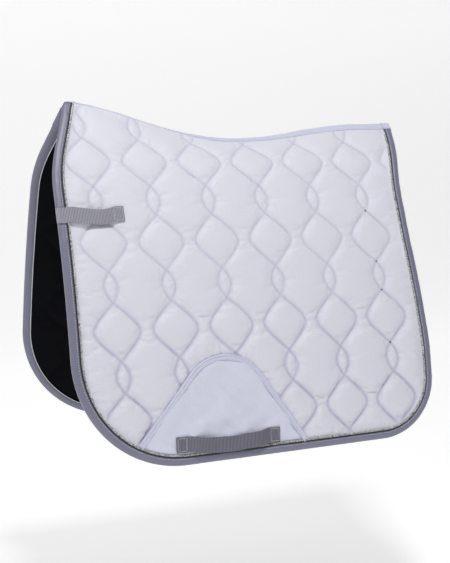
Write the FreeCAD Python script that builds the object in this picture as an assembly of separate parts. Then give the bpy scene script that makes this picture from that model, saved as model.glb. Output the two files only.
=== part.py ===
import FreeCAD, Part
import math
import os

# A quilted dressage saddle pad, draped as it lies on a horse: a stiffer saddle-shaped spine piece and a
# hanging flap on each side, every one of them a sandwich of outer fabric, wadding and lining.
#
# Frame, in millimetres: the origin is the underside of the spine at its lowest dip, where the pad rests
# on the back.  -X is towards the withers (front), +X towards the tail, -Y is the horse's near (left)
# side and +Z is up.  Everything on the right side mirrors the left in the plane y = 0.
#
# Places on the surface use two lengths: w, along the section from the fold line (down the flap), and
# depth, from the outer face towards the horse.  Negative depth stands proud of the outer face.

# ---- overall sizes -----------------------------------------------------------------------------------
FRONT_REACH = 343.0          # front edge of the flap, ahead of the spine's dip
REAR_REACH = 288.5           # widest point of the rear edge, behind the dip
WAIST_REACH = 275.5          # rear edge where it is drawn in, below the spine
FRONT_DROP = 497.0           # bottom edge below the seat at the front
REAR_DROP = 488.0            # bottom edge below the seat at the rear
FRONT_CORNER_RADIUS = 175.0
REAR_CORNER_RADIUS = 100.0
WITHERS_SLOPE_DEG = 20.0     # the front edge leans back by this above the shoulder bend
WITHERS_BEND_Z = -32.7       # height of the bend between the upright and the sloping front edge
SHOULDER_RADIUS = 205.0
RUMP_SLOPE_DEG = 13.6        # the rear edge leans out by this above the waist
RUMP_BEND_Z = -63.0
WAIST_Z = -153.0
HIP_Z = -338.0
RUMP_RADIUS = 300.0
WAIST_RADIUS = 600.0
HIP_RADIUS = 500.0
OUTLINE_TOP = 130.0          # the outline is closed above the spine

# ---- section across the horse ------------------------------------------------------------------------
FOLD_HALF_WIDTH = 72.75      # outer face at the fold line
FOLD_Z = -50.0
FOLD_ANGLE_DEG = 25.76       # lean of the section at the fold line, from the vertical
FLAP_RADIUS = 1179.0         # outer face of the flap below the fold
SPINE_SEAT_TO_TOP = 12.0     # pad and tapes, measured upright at the spine's dip
# rise of the spine above its dip, at shares of the front and rear reach
SPINE_PROFILE = (
    (-1.03, 60.0), (-0.85, 57.5), (-0.67, 45.0), (-0.50, 28.0), (-0.30, 10.0), (-0.06, 0.0),
    (0.20, 4.0), (0.48, 17.0), (0.73, 25.0), (0.94, 26.5), (1.16, 33.0),
)

# ---- layers ------------------------------------------------------------------------------------------
PAD_THICKNESS = 10.0
SHELL_THICKNESS = 1.2
LINING_THICKNESS = 1.2
LAYER_GAP = 0.3              # between soft pieces that lie on each other
BINDING_WIDTH = 12.5
BINDING_THICKNESS = 1.2
FLANGE_WIDTH = 2.4
PIPING_WIDTH = 3.0
PIPING_PROUD = 2.2
TAPE_THICKNESS = 1.0
SPINE_TAPE_HALF_WIDTH = 18.0
SPINE_TAPE_FRONT_NEAR = 2.5   # towards the withers the tape slides over to the right: what is left of it
SPINE_TAPE_NARROWS_X = -25.0  # on the left side, and where it starts and stops narrowing
SPINE_TAPE_NARROW_X = -150.0
INNER_TAPE_HALF_WIDTH = 20.0
TAPE_END_LENGTH = BINDING_WIDTH  # the outer spine tape's end, folded over the rear binding
OVERLAP_LENGTH = 26.0        # where the two ends of the binding lap, on the right of the withers
OVERLAP_BELOW_PEAK = 9.0

# ---- fold joint --------------------------------------------------------------------------------------
FOLD_OUT_DEG = 60.0          # a flap lifts out until its top lies about level
FOLD_IN_DEG = 18.0           # and swings in until the two flaps nearly meet
FOLD_CLEARANCE = 0.3

# ---- webbing loops and the girth patch ---------------------------------------------------------------
WEBBING_WIDTH = 25.0
WEBBING_THICKNESS = 2.0
WEBBING_BEND = 6.0
LOOP_BOW = 9.0               # clear height of a strap that passes under a loop
LOOP_TAB = 19.0              # flat sewn end of a loop
LOOP_RAMP = 20.0
GIRTH_LOOP_FRONT = -184.5
GIRTH_LOOP_REAR = -7.0
GIRTH_LOOP_ABOVE_BINDING = 6.73  # lower edge of the girth loop above the binding, at its nearer end
BILLET_LOOP_W = 61.0         # middle of the billet loop below the fold line
BILLET_LOOP_REAR = -236.5
BILLET_FRONT_TAB = 12.0      # the billet loop's front end, sewn on the binding up to the front edge
BILLET_FRONT_RAMP = 12.0
STITCH_INSET = 2.5
STITCH_WIDTH = 0.8
STITCH_PROUD = 0.4
PATCH_THICKNESS = 0.8
PATCH_PEAK_X = -89.4
PATCH_PEAK_Z = -279.5        # where the patch's two straight flanks would meet
PATCH_FRONT_DEG = 48.8       # slopes of the flanks from the horizontal
PATCH_REAR_DEG = 55.5
PATCH_PEAK_RADIUS = 77.0
PATCH_TAPE_WIDTH = 6.5
PATCH_TAPE_THICKNESS = 0.8

# ---- quilting ----------------------------------------------------------------------------------------
QUILT_PITCH = 95.0           # along the pad
QUILT_REPEAT = 139.75        # down the pad
LAST_COLUMN_X = 188.9
FIRST_LENS_W = 37.5
LENS_HALF_HEIGHT = 24.75
KNOT_RADIUS = 1.2
GRAIN_LEAN = 7.94            # each row of the pattern stands this much further back than the last

# ---- worked out from the sizes above -----------------------------------------------------------------
HALF = PAD_THICKNESS / 2
LEAN = math.radians(FOLD_ANGLE_DEG)
X_FAR = 1.1 * max(FRONT_REACH, REAR_REACH)
Y_FAR = FOLD_HALF_WIDTH + max(FRONT_DROP, REAR_DROP)
FLAP_RUN = (max(FRONT_DROP, REAR_DROP) + FOLD_Z) * 1.2
WADDING_OUT = SHELL_THICKNESS + LAYER_GAP
WADDING_IN = PAD_THICKNESS - LINING_THICKNESS - LAYER_GAP
PANEL_INSET = BINDING_WIDTH + LAYER_GAP
PIPING_INSET = PANEL_INSET + FLANGE_WIDTH + LAYER_GAP
PATCH_INSET = PIPING_INSET + PIPING_WIDTH + LAYER_GAP
NOSE_RADIUS = HALF + FOLD_CLEARANCE


def vec(x, y, z):
    return FreeCAD.Vector(x, y, z)


def normal(w):
    """Outward normal of the left flap's section, w along it from the fold line, as (y, z)."""
    lean = LEAN - w / FLAP_RADIUS
    return (-math.cos(lean), math.sin(lean))


def flap_point(x, w, depth):
    """A point of the left flap."""
    ny, nz = normal(0)
    cy = -FOLD_HALF_WIDTH - FLAP_RADIUS * ny
    cz = FOLD_Z - FLAP_RADIUS * nz
    ny, nz = normal(w)
    reach = FLAP_RADIUS - depth
    return vec(x, cy + reach * ny, cz + reach * nz)


def fold_point(x, w, proud):
    """A point near the fold line in the flat frame of the fold: proud is measured from mid-thickness."""
    ny, nz = normal(0)
    axis_y = -FOLD_HALF_WIDTH - HALF * ny
    axis_z = FOLD_Z - HALF * nz
    return vec(x, axis_y + proud * ny - w * nz, axis_z + proud * nz + w * ny)


def line(a, b):
    return Part.LineSegment(a, b).toShape()


def arc(a, middle, b):
    return Part.Arc(a, middle, b).toShape()


def wire_face(edges):
    return Part.Face(Part.Wire(edges))


def rounded_loop(corners, place):
    """A closed wire through corners (u, v, radius), each one rounded, drawn by place(u, v)."""
    runs = []
    arcs = []
    count = len(corners)
    for i, (u, v, radius) in enumerate(corners):
        before = corners[i - 1]
        after = corners[(i + 1) % count]
        to_before = (before[0] - u, before[1] - v)
        to_after = (after[0] - u, after[1] - v)
        long_before = math.hypot(*to_before)
        long_after = math.hypot(*to_after)
        a = (to_before[0] / long_before, to_before[1] / long_before)
        b = (to_after[0] / long_after, to_after[1] / long_after)
        half_angle = math.acos(max(-1.0, min(1.0, a[0] * b[0] + a[1] * b[1]))) / 2
        if radius <= 0 or math.pi / 2 - half_angle < 1e-6:
            arcs.append(None)
            runs.append(((u, v), (u, v)))
            continue
        back = radius / math.tan(half_angle)
        middle = radius / math.sin(half_angle) - radius
        along = (a[0] + b[0], a[1] + b[1])
        size = math.hypot(*along)
        start = (u + a[0] * back, v + a[1] * back)
        end = (u + b[0] * back, v + b[1] * back)
        mid = (u + along[0] / size * middle, v + along[1] / size * middle)
        arcs.append(mid)
        runs.append((start, end))
    edges = []
    for i in range(count):
        start, end = runs[i]
        if arcs[i] is not None:
            edges.append(arc(place(*start), place(*arcs[i]), place(*end)))
        following = runs[(i + 1) % count][0]
        if math.hypot(following[0] - end[0], following[1] - end[1]) > 1e-6:
            edges.append(line(place(*end), place(*following)))
    return Part.Wire(edges)


def inset_corners(corners, inset):
    """The same rounded outline, counter-clockwise, moved inwards by inset all round."""
    count = len(corners)
    shifted = []
    for i in range(count):
        u0, v0, _ = corners[i]
        u1, v1, _ = corners[(i + 1) % count]
        size = math.hypot(u1 - u0, v1 - v0)
        du = (u1 - u0) / size
        dv = (v1 - v0) / size
        shifted.append((u0 - dv * inset, v0 + du * inset, du, dv))
    result = []
    for i in range(count):
        au, av, adu, adv = shifted[i - 1]
        bu, bv, bdu, bdv = shifted[i]
        turn = adu * bdv - adv * bdu
        t = ((bu - au) * bdv - (bv - av) * bdu) / turn
        radius = corners[i][2]
        if radius > 0:
            radius = radius - inset if turn > 0 else radius + inset
        result.append((au + adu * t, av + adv * t, max(radius, 0.5)))
    return result


def outline_corners():
    """Corners of the pad's side view (x, z, radius), counter-clockwise from the top front."""
    lean_back = math.tan(math.radians(WITHERS_SLOPE_DEG))
    lean_out = math.tan(math.radians(RUMP_SLOPE_DEG))
    return [
        (-FRONT_REACH + (OUTLINE_TOP - WITHERS_BEND_Z) * lean_back, OUTLINE_TOP, 0.0),
        (-FRONT_REACH, WITHERS_BEND_Z, SHOULDER_RADIUS),
        (-FRONT_REACH, -FRONT_DROP, FRONT_CORNER_RADIUS),
        (REAR_REACH, -REAR_DROP, REAR_CORNER_RADIUS),
        (REAR_REACH, HIP_Z, HIP_RADIUS),
        (WAIST_REACH, WAIST_Z, WAIST_RADIUS),
        (WAIST_REACH, RUMP_BEND_Z, RUMP_RADIUS),
        (WAIST_REACH + (OUTLINE_TOP - RUMP_BEND_Z) * lean_out, OUTLINE_TOP, 0.0),
    ]


def prism(corners, y_from=-Y_FAR, y_to=Y_FAR):
    """Everything behind a side-view outline."""
    wire = rounded_loop(corners, lambda u, v: vec(u, y_from, v))
    return Part.Face(wire).extrude(vec(0, y_to - y_from, 0))


def pad_prism(inset):
    return prism(inset_corners(outline_corners(), inset))


def frame_prism(inset_out, inset_in):
    """A band that follows the pad's edge, between two insets."""
    return pad_prism(inset_out).cut(pad_prism(inset_in))


# ---- bands of the section ----------------------------------------------------------------------------
def flap_band(depth_out, depth_in, w_from=0.0):
    """The left flap's section between two depths, carried the length of the pad.

    Its top ends on the round nose that turns in the spine's hollow, or at w_from when it stands proud.
    """
    w_mid = FLAP_RUN / 2
    x = -X_FAR
    top_out = flap_point(x, w_from, depth_out)
    top_in = flap_point(x, w_from, depth_in)
    end_out = flap_point(x, FLAP_RUN, depth_out)
    end_in = flap_point(x, FLAP_RUN, depth_in)
    edges = [
        arc(top_out, flap_point(x, w_mid, depth_out), end_out),
        line(end_out, end_in),
        arc(end_in, flap_point(x, w_mid, depth_in), top_in),
    ]
    proud_out = HALF - depth_out
    proud_in = HALF - depth_in
    if w_from > 0 or abs(proud_out) > HALF:
        edges.append(line(top_in, top_out))
        return wire_face(edges).extrude(vec(2 * X_FAR, 0, 0))

    def nose(proud):
        return fold_point(x, -math.sqrt(max(HALF * HALF - proud * proud, 0.0)), proud)

    nose_in = nose(proud_in)
    nose_out = nose(proud_out)
    if nose_in.distanceToPoint(top_in) > 1e-6:
        edges.append(line(top_in, nose_in))
    edges.append(arc(nose_in, nose((proud_in + proud_out) / 2), nose_out))
    if nose_out.distanceToPoint(top_out) > 1e-6:
        edges.append(line(nose_out, top_out))
    return wire_face(edges).extrude(vec(2 * X_FAR, 0, 0))


def spine_rise(share):
    """Height of the outer face on the spine line at a share of the reach, on straight runs."""
    for (s0, z0), (s1, z1) in zip(SPINE_PROFILE, SPINE_PROFILE[1:]):
        if share <= s1:
            return z0 + (z1 - z0) * (share - s0) / (s1 - s0)
    return SPINE_PROFILE[-1][1]


def spine_arc(rise):
    """Centre (y, z) and radius of the left half of the spine's outer section.

    The arc leaves the fold line in line with the flap and meets the plane y = 0 at the given height.
    """
    top = SPINE_SEAT_TO_TOP + rise
    dy = FOLD_HALF_WIDTH
    dz = top - FOLD_Z
    turn = math.atan2(dy, dz) - LEAN
    radius = math.hypot(dy, dz) / (2 * math.sin(turn))
    ny, nz = normal(0)
    return (-FOLD_HALF_WIDTH - radius * ny, FOLD_Z - radius * nz, radius)


def spine_section(x, rise, depth_out, depth_in, y_from, y_to):
    """A closed wire of the left half section, between two depths and between y_from and y_to."""
    cy, cz, radius = spine_arc(rise)

    def at(y, depth):
        reach = radius - depth
        return vec(x, y, cz + math.sqrt(reach * reach - (y - cy) * (y - cy)))

    def start(depth):
        ny, nz = normal(0)
        if y_from is None:
            return vec(x, -FOLD_HALF_WIDTH - depth * ny, FOLD_Z - depth * nz)
        return at(y_from, depth)

    def halfway(a, b, depth):
        reach = radius - depth
        angle_a = math.atan2(a.z - cz, a.y - cy)
        angle_b = math.atan2(b.z - cz, b.y - cy)
        middle = (angle_a + angle_b) / 2
        return vec(x, cy + reach * math.cos(middle), cz + reach * math.sin(middle))

    out_a = start(depth_out)
    out_b = at(y_to, depth_out)
    in_b = at(y_to, depth_in)
    in_a = start(depth_in)
    return Part.Wire([
        arc(out_a, halfway(out_a, out_b, depth_out), out_b),
        line(out_b, in_b),
        arc(in_b, halfway(in_b, in_a, depth_in), in_a),
        line(in_a, out_a),
    ])


def spine_band(depth_out, depth_in, y_from=None, y_to=-LAYER_GAP / 2):
    """The left half of the spine piece between two depths, from the fold line or y_from up to y_to."""
    sections = []
    for share, rise in SPINE_PROFILE:
        x = share * (FRONT_REACH if share < 0 else REAR_REACH)
        sections.append(spine_section(x, rise, depth_out, depth_in, y_from, y_to))
    return Part.makeLoft(sections, True, False)


def fold_relief():
    """The room that the flap's round nose and faces sweep through, to be cut from the spine piece."""
    x = -X_FAR
    out_angle = math.radians(90 + FOLD_OUT_DEG)
    in_angle = -math.radians(90 + FOLD_IN_DEG)
    reach = 4 * PAD_THICKNESS

    def polar(radius, angle):
        return fold_point(x, radius * math.cos(angle), radius * math.sin(angle))

    def along(angle, turn):
        w = NOSE_RADIUS * math.cos(angle) + reach * math.cos(turn)
        proud = NOSE_RADIUS * math.sin(angle) + reach * math.sin(turn)
        return fold_point(x, w, proud)

    lip_out = polar(NOSE_RADIUS, out_angle)
    lip_in = polar(NOSE_RADIUS, in_angle)
    far_out = along(out_angle, math.radians(FOLD_OUT_DEG))
    far_in = along(in_angle, -math.radians(FOLD_IN_DEG))
    corner_out = fold_point(x, 2 * reach, 2 * reach)
    corner_in = fold_point(x, 2 * reach, -2 * reach)
    edges = [
        arc(lip_in, polar(NOSE_RADIUS, math.pi), lip_out),
        line(lip_out, far_out),
        line(far_out, corner_out),
        line(corner_out, corner_in),
        line(corner_in, far_in),
        line(far_in, lip_in),
    ]
    return wire_face(edges).extrude(vec(2 * X_FAR, 0, 0))


def proud_starts(proud):
    """Where pieces that stand proud of the outer face begin: below the fold on the flap, and above it.

    With the flap lifted out to its limit, the flap's trim still clears the spine's face and trim.
    """
    out = math.radians(FOLD_OUT_DEG)
    lip = (NOSE_RADIUS - HALF * math.cos(out)) / math.sin(out)
    below = HALF * math.sin(out) - lip * math.cos(out) + 2 * FOLD_CLEARANCE
    above = (HALF + proud) * (1 - math.cos(out)) / math.sin(out) + 4 * FOLD_CLEARANCE
    return below, above


def upper_zone(above):
    """A slab that keeps only what lies at least this far above the fold line, square to the section."""
    x = -X_FAR
    far = 8 * PAD_THICKNESS
    corners = [
        fold_point(x, -above, -far),
        fold_point(x, -above, far),
        fold_point(x, far, far),
        fold_point(x, far, -far),
    ]
    edges = []
    for i in range(4):
        edges.append(line(corners[i], corners[(i + 1) % 4]))
    return wire_face(edges).extrude(vec(2 * X_FAR, 0, 0))


# ---- webbing -----------------------------------------------------------------------------------------
def offset_path(points, distance):
    """The open path moved sideways to its left by distance, with mitred corners."""
    result = []
    last = len(points) - 1
    for i, (u, v) in enumerate(points):
        u0, v0 = points[max(i - 1, 0)]
        u1, v1 = points[min(i + 1, last)]
        before = (u - u0, v - v0) if i > 0 else (u1 - u, v1 - v)
        after = (u1 - u, v1 - v) if i < last else before
        a = math.atan2(before[1], before[0])
        b = math.atan2(after[1], after[0])
        turn = math.remainder(b - a, 2 * math.pi)
        middle = a + turn / 2 + math.pi / 2
        size = distance / math.cos(turn / 2)
        result.append((u + size * math.cos(middle), v + size * math.sin(middle)))
    return result


def bend_radii(points, distance):
    """Radii of the bends of a path moved sideways to its left: tighter on the inside of every bend."""
    radii = []
    for before, here, after in zip(points, points[1:], points[2:]):
        turn = (here[0] - before[0]) * (after[1] - here[1]) - (here[1] - before[1]) * (after[0] - here[0])
        radii.append(WEBBING_BEND - distance * math.copysign(1.0, turn))
    return [0.0] + radii + [0.0]


def strap(points, w_middle):
    """Webbing on the left flap, of one thickness all along and round its bends.

    The points (x, proud of the outer face) are those of its middle line, and w_middle is its place
    across the flap.
    """
    half = WEBBING_THICKNESS / 2
    sides = []
    for distance in (half, -half):
        radii = bend_radii(points, distance)
        sides.append([(u, v, radius) for (u, v), radius in zip(offset_path(points, distance), radii)])
    return across_flap(sides[0] + sides[1][::-1], w_middle, WEBBING_WIDTH)


def across_flap(corners, w_middle, width):
    """A profile (x, proud) carried square across the left flap's section over a width."""
    ny, nz = normal(w_middle)
    base = flap_point(0, w_middle, 0)
    down = vec(0, -nz, ny)

    def place(u, v):
        return vec(u, base.y + v * ny, base.z + v * nz) - down * (width / 2)

    return Part.Face(rounded_loop(corners, place)).extrude(down * width)


def box_stitch(x_from, x_to, proud, w_middle):
    """A rectangle of thread, sewn on a flat stretch of webbing."""
    width = WEBBING_WIDTH - 2 * STITCH_INSET
    low, high = sorted((x_from, x_to))

    def slab(x0, x1, size):
        corners = [(x0, proud, 0.0), (x1, proud, 0.0), (x1, proud + STITCH_PROUD, 0.0),
                   (x0, proud + STITCH_PROUD, 0.0)]
        return across_flap(corners, w_middle, size)

    outer = slab(low, high, width)
    inner = slab(low + STITCH_WIDTH, high - STITCH_WIDTH, width - 2 * STITCH_WIDTH)
    return outer.cut(inner)


def bottom_edge_w(x):
    """Distance of the bottom edge below the fold line at x, along the flap."""
    share = (x + FRONT_REACH) / (FRONT_REACH + REAR_REACH)
    edge_z = -FRONT_DROP + (FRONT_DROP - REAR_DROP) * share
    nz = normal(0)[1]
    centre_z = FOLD_Z - FLAP_RADIUS * nz
    lean = math.asin((edge_z - centre_z) / FLAP_RADIUS)
    return (LEAN - lean) * FLAP_RADIUS


def girth_loop_w():
    """Distance of the girth loop's middle below the fold line; its nearer end clears the trim."""
    nearest = min(bottom_edge_w(GIRTH_LOOP_FRONT), bottom_edge_w(GIRTH_LOOP_REAR))
    slant = math.hypot(1.0, (FRONT_DROP - REAR_DROP) / (FRONT_REACH + REAR_REACH))
    above = BINDING_WIDTH + GIRTH_LOOP_ABOVE_BINDING + WEBBING_WIDTH / 2
    return nearest - above * slant


def girth_loop():
    """A loop sewn at both ends over the patch, for the girth's webbing."""
    flat = 2 * LAYER_GAP + PATCH_THICKNESS + WEBBING_THICKNESS / 2
    top = flat + LOOP_BOW
    points = [
        (GIRTH_LOOP_FRONT, flat),
        (GIRTH_LOOP_FRONT + LOOP_TAB, flat),
        (GIRTH_LOOP_FRONT + LOOP_TAB + LOOP_RAMP, top),
        (GIRTH_LOOP_REAR - LOOP_TAB - LOOP_RAMP, top),
        (GIRTH_LOOP_REAR - LOOP_TAB, flat),
        (GIRTH_LOOP_REAR, flat),
    ]
    return strap(points, girth_loop_w())


def girth_stitching():
    proud = 2 * LAYER_GAP + PATCH_THICKNESS + WEBBING_THICKNESS
    first = box_stitch(GIRTH_LOOP_FRONT + STITCH_INSET, GIRTH_LOOP_FRONT + LOOP_TAB - STITCH_INSET,
                       proud, girth_loop_w())
    second = box_stitch(GIRTH_LOOP_REAR - LOOP_TAB + STITCH_INSET, GIRTH_LOOP_REAR - STITCH_INSET,
                        proud, girth_loop_w())
    return Part.makeCompound([first, second])


def billet_loop():
    """A loop sewn behind the front edge and on the front binding, for the girth strap."""
    flat = LAYER_GAP + WEBBING_THICKNESS / 2
    top = flat + LOOP_BOW
    points = [
        (-FRONT_REACH, flat),
        (-FRONT_REACH + BILLET_FRONT_TAB, flat),
        (-FRONT_REACH + BILLET_FRONT_TAB + BILLET_FRONT_RAMP, top),
        (BILLET_LOOP_REAR - LOOP_TAB - LOOP_RAMP, top),
        (BILLET_LOOP_REAR - LOOP_TAB, flat),
        (BILLET_LOOP_REAR, flat),
    ]
    return strap(points, BILLET_LOOP_W)


def billet_stitching():
    proud = LAYER_GAP + WEBBING_THICKNESS
    return box_stitch(BILLET_LOOP_REAR - STITCH_INSET, BILLET_LOOP_REAR - LOOP_TAB + STITCH_INSET,
                      proud, BILLET_LOOP_W)


# ---- the girth patch ---------------------------------------------------------------------------------
def patch_prism(inset):
    """The bell-shaped outline of the girth patch, open at the bottom, moved inwards by inset."""
    low = -1.3 * max(FRONT_DROP, REAR_DROP)
    fall = PATCH_PEAK_Z - low
    front = PATCH_PEAK_X - fall / math.tan(math.radians(PATCH_FRONT_DEG))
    rear = PATCH_PEAK_X + fall / math.tan(math.radians(PATCH_REAR_DEG))
    corners = [(front, low, 0.0), (rear, low, 0.0), (PATCH_PEAK_X, PATCH_PEAK_Z, PATCH_PEAK_RADIUS)]
    return prism(inset_corners(corners, inset))


def quilting_knots():
    """Small thread knots where the rearmost pair of stitch lines crosses."""
    knots = []
    for row, end in ((0, 1), (1, -1), (1, 1), (2, -1)):
        w = FIRST_LENS_W + row * QUILT_REPEAT + end * LENS_HALF_HEIGHT
        centre = flap_point(LAST_COLUMN_X + GRAIN_LEAN * row, w, -LAYER_GAP - KNOT_RADIUS)
        knots.append(Part.makeSphere(KNOT_RADIUS, centre))
    return Part.makeCompound(knots)


# ---- pieces ------------------------------------------------------------------------------------------
def flap_pieces():
    """All the pieces of the left flap, by name."""
    below, _ = proud_starts(PIPING_PROUD)
    panel = pad_prism(PANEL_INSET)
    shell_area = pad_prism(PIPING_INSET)
    edge = pad_prism(0.0)
    core = flap_band(WADDING_OUT - LAYER_GAP, WADDING_IN + LAYER_GAP)
    rim = pad_prism(BINDING_THICKNESS)
    patch_area = patch_prism(0.0).common(pad_prism(PATCH_INSET))
    tape_ring = patch_area.cut(patch_prism(PATCH_TAPE_WIDTH))
    patch_top = LAYER_GAP + PATCH_THICKNESS
    flange_ring = frame_prism(PANEL_INSET, PANEL_INSET + FLANGE_WIDTH)
    piping_ring = frame_prism(PIPING_INSET, PIPING_INSET + PIPING_WIDTH)
    binding = flap_band(0.0, PAD_THICKNESS).common(edge.cut(pad_prism(BINDING_WIDTH)))
    return {
        "shell": flap_band(0.0, SHELL_THICKNESS).common(shell_area),
        "wadding": flap_band(WADDING_OUT, WADDING_IN).common(pad_prism(BINDING_THICKNESS + LAYER_GAP)),
        "lining": flap_band(PAD_THICKNESS - LINING_THICKNESS, PAD_THICKNESS).common(panel),
        "binding": binding.cut(core.common(rim)),
        "flange": flap_band(0.0, SHELL_THICKNESS).common(flange_ring),
        "piping": flap_band(-PIPING_PROUD, -LAYER_GAP, below).common(piping_ring),
        "girth_patch": flap_band(-patch_top, -LAYER_GAP, below).common(patch_area),
        "patch_tape": flap_band(-patch_top - LAYER_GAP - PATCH_TAPE_THICKNESS, -patch_top - LAYER_GAP,
                                below).common(tape_ring),
        "girth_loop": girth_loop(),
        "girth_stitching": girth_stitching(),
        "billet_loop": billet_loop(),
        "billet_stitching": billet_stitching(),
        "quilting_knots": quilting_knots(),
    }


def half_space(x_from, x_to):
    return Part.makeBox(x_to - x_from, 2 * Y_FAR, 2 * Y_FAR, vec(x_from, -Y_FAR, -Y_FAR))


def upper_pieces():
    """The left half of the spine piece: its layers and the trim of its front and rear edges."""
    relief = fold_relief()
    front = half_space(-X_FAR, 0.0)
    rear = half_space(0.0, X_FAR)
    shell = spine_band(0.0, SHELL_THICKNESS)
    flange = shell.common(frame_prism(PANEL_INSET, PANEL_INSET + FLANGE_WIDTH)).cut(relief)
    lining = spine_band(PAD_THICKNESS - LINING_THICKNESS, PAD_THICKNESS)
    wadding = spine_band(WADDING_OUT, WADDING_IN)
    return {
        "upper_shell": shell.common(pad_prism(PIPING_INSET)).cut(relief),
        "upper_wadding": wadding.common(pad_prism(BINDING_THICKNESS + LAYER_GAP)).cut(relief),
        "upper_lining": lining.common(pad_prism(PANEL_INSET)).cut(relief),
        "front_flange": flange.common(front),
        "rear_flange": flange.common(rear),
    }


def upper_piping(front_stop, rear_stop):
    """The left side's piping above the fold, up to the spine tape's side at the front and at the rear."""
    _, above = proud_starts(PIPING_PROUD)
    ring = frame_prism(PIPING_INSET, PIPING_INSET + PIPING_WIDTH)
    zone = upper_zone(above)
    pieces = {}
    for name, stop, half in (("front", front_stop, half_space(-X_FAR, 0.0)),
                             ("rear", rear_stop, half_space(0.0, X_FAR))):
        band = spine_band(-PIPING_PROUD, -LAYER_GAP, None, -stop - LAYER_GAP)
        pieces[name + "_upper_piping"] = band.common(ring).cut(zone).common(half)
    return pieces


def mirrored(shape):
    return shape.mirror(vec(0, 0, 0), vec(0, 1, 0))


def upper_binding():
    """The folded binding of the whole spine piece, front and rear."""
    body = spine_band(0.0, PAD_THICKNESS, None, 0.0)
    core = spine_band(WADDING_OUT - LAYER_GAP, WADDING_IN + LAYER_GAP, None, 0.0)
    ring = frame_prism(0.0, BINDING_WIDTH)
    left = body.common(ring).cut(core.common(pad_prism(BINDING_THICKNESS))).cut(fold_relief())
    whole = left.fuse(mirrored(left)).removeSplitter()
    return whole.common(half_space(-X_FAR, 0.0)), whole.common(half_space(0.0, X_FAR))


def ridge_tape(depth_out, depth_in, half_width, inset):
    """A tape that follows the spine line across both halves."""
    left = spine_band(depth_out, depth_in, -half_width, 0.0)
    return left.fuse(mirrored(left)).removeSplitter().common(pad_prism(inset))


def tape_plan():
    """The outer spine tape seen from above: full width at the rear, narrowed on the left at the front."""
    wide = SPINE_TAPE_HALF_WIDTH + PAD_THICKNESS
    corners = [
        (X_FAR, -wide),
        (X_FAR, wide),
        (-X_FAR, wide),
        (-X_FAR, -SPINE_TAPE_FRONT_NEAR),
        (SPINE_TAPE_NARROW_X, -SPINE_TAPE_FRONT_NEAR),
        (SPINE_TAPE_NARROWS_X, -SPINE_TAPE_HALF_WIDTH),
        (SPINE_TAPE_NARROWS_X, -wide),
    ]
    edges = []
    for i, (x, y) in enumerate(corners):
        next_x, next_y = corners[(i + 1) % len(corners)]
        edges.append(line(vec(x, y, -Y_FAR), vec(next_x, next_y, -Y_FAR)))
    return wire_face(edges).extrude(vec(0, 0, 2 * Y_FAR))


def spine_pieces():
    """The pieces that lie across the spine line."""
    front_binding, rear_binding = upper_binding()
    proud = -LAYER_GAP - TAPE_THICKNESS
    outer = ridge_tape(proud, -LAYER_GAP, SPINE_TAPE_HALF_WIDTH, BINDING_WIDTH + LAYER_GAP)
    outer = outer.common(tape_plan())
    whole = ridge_tape(proud, -LAYER_GAP, SPINE_TAPE_HALF_WIDTH, 0.0)
    tape_end = whole.common(half_space(0.0, X_FAR)).cut(pad_prism(TAPE_END_LENGTH))
    inner = ridge_tape(PAD_THICKNESS + LAYER_GAP, PAD_THICKNESS + LAYER_GAP + TAPE_THICKNESS,
                       INNER_TAPE_HALF_WIDTH, BINDING_THICKNESS)
    peak = SPINE_SEAT_TO_TOP + spine_rise(-0.85)
    overlap_zone = Part.makeBox(2 * X_FAR, Y_FAR, OVERLAP_LENGTH,
                                vec(-X_FAR, 0, peak - OVERLAP_BELOW_PEAK - OVERLAP_LENGTH))
    overlap = mirrored(spine_band(proud, -LAYER_GAP)).common(frame_prism(0.0, BINDING_WIDTH))
    overlap = overlap.common(half_space(-X_FAR, 0.0)).common(overlap_zone)
    return {
        "front_upper_binding": front_binding,
        "rear_upper_binding": rear_binding,
        "spine_tape_outer": outer,
        "spine_tape_end": tape_end,
        "spine_tape_inner": inner,
        "withers_binding_overlap": overlap,
    }


def save(name, shape):
    solids = shape.Solids
    if not solids:
        raise ValueError(name + " has no solid")
    piece = solids[0] if len(solids) == 1 else Part.makeCompound(solids)
    piece.exportStep("parts/" + name + ".step")
    print(name, len(solids), round(piece.Volume), [round(v, 1) for v in (
        piece.BoundBox.XMin, piece.BoundBox.XMax, piece.BoundBox.YMin, piece.BoundBox.YMax,
        piece.BoundBox.ZMin, piece.BoundBox.ZMax)], piece.isValid())


def main():
    os.makedirs("parts", exist_ok=True)
    for name, shape in spine_pieces().items():
        save(name, shape)
    halves = upper_pieces()
    halves.update({"flap_" + name: shape for name, shape in flap_pieces().items()})
    for name, shape in halves.items():
        save("left_" + name, shape)
        save("right_" + name, mirrored(shape))
    for name, shape in upper_piping(SPINE_TAPE_FRONT_NEAR, SPINE_TAPE_HALF_WIDTH).items():
        save("left_" + name, shape)
    for name, shape in upper_piping(SPINE_TAPE_HALF_WIDTH, SPINE_TAPE_HALF_WIDTH).items():
        save("right_" + name, mirrored(shape))


main()
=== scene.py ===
"""Looks of a quilted dressage saddle pad, built around its packed frame.

Everything that is cloth is worked out on the pad's own surface: x along the horse, w along the section
from the fold line (down the flap, negative up towards the spine) and proud, the height over the outer
face.  All lengths inside the classes are millimetres; mesh_piece() turns them to metres.
"""

import logging
import math
from dataclasses import dataclass, field
from enum import Enum

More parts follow.
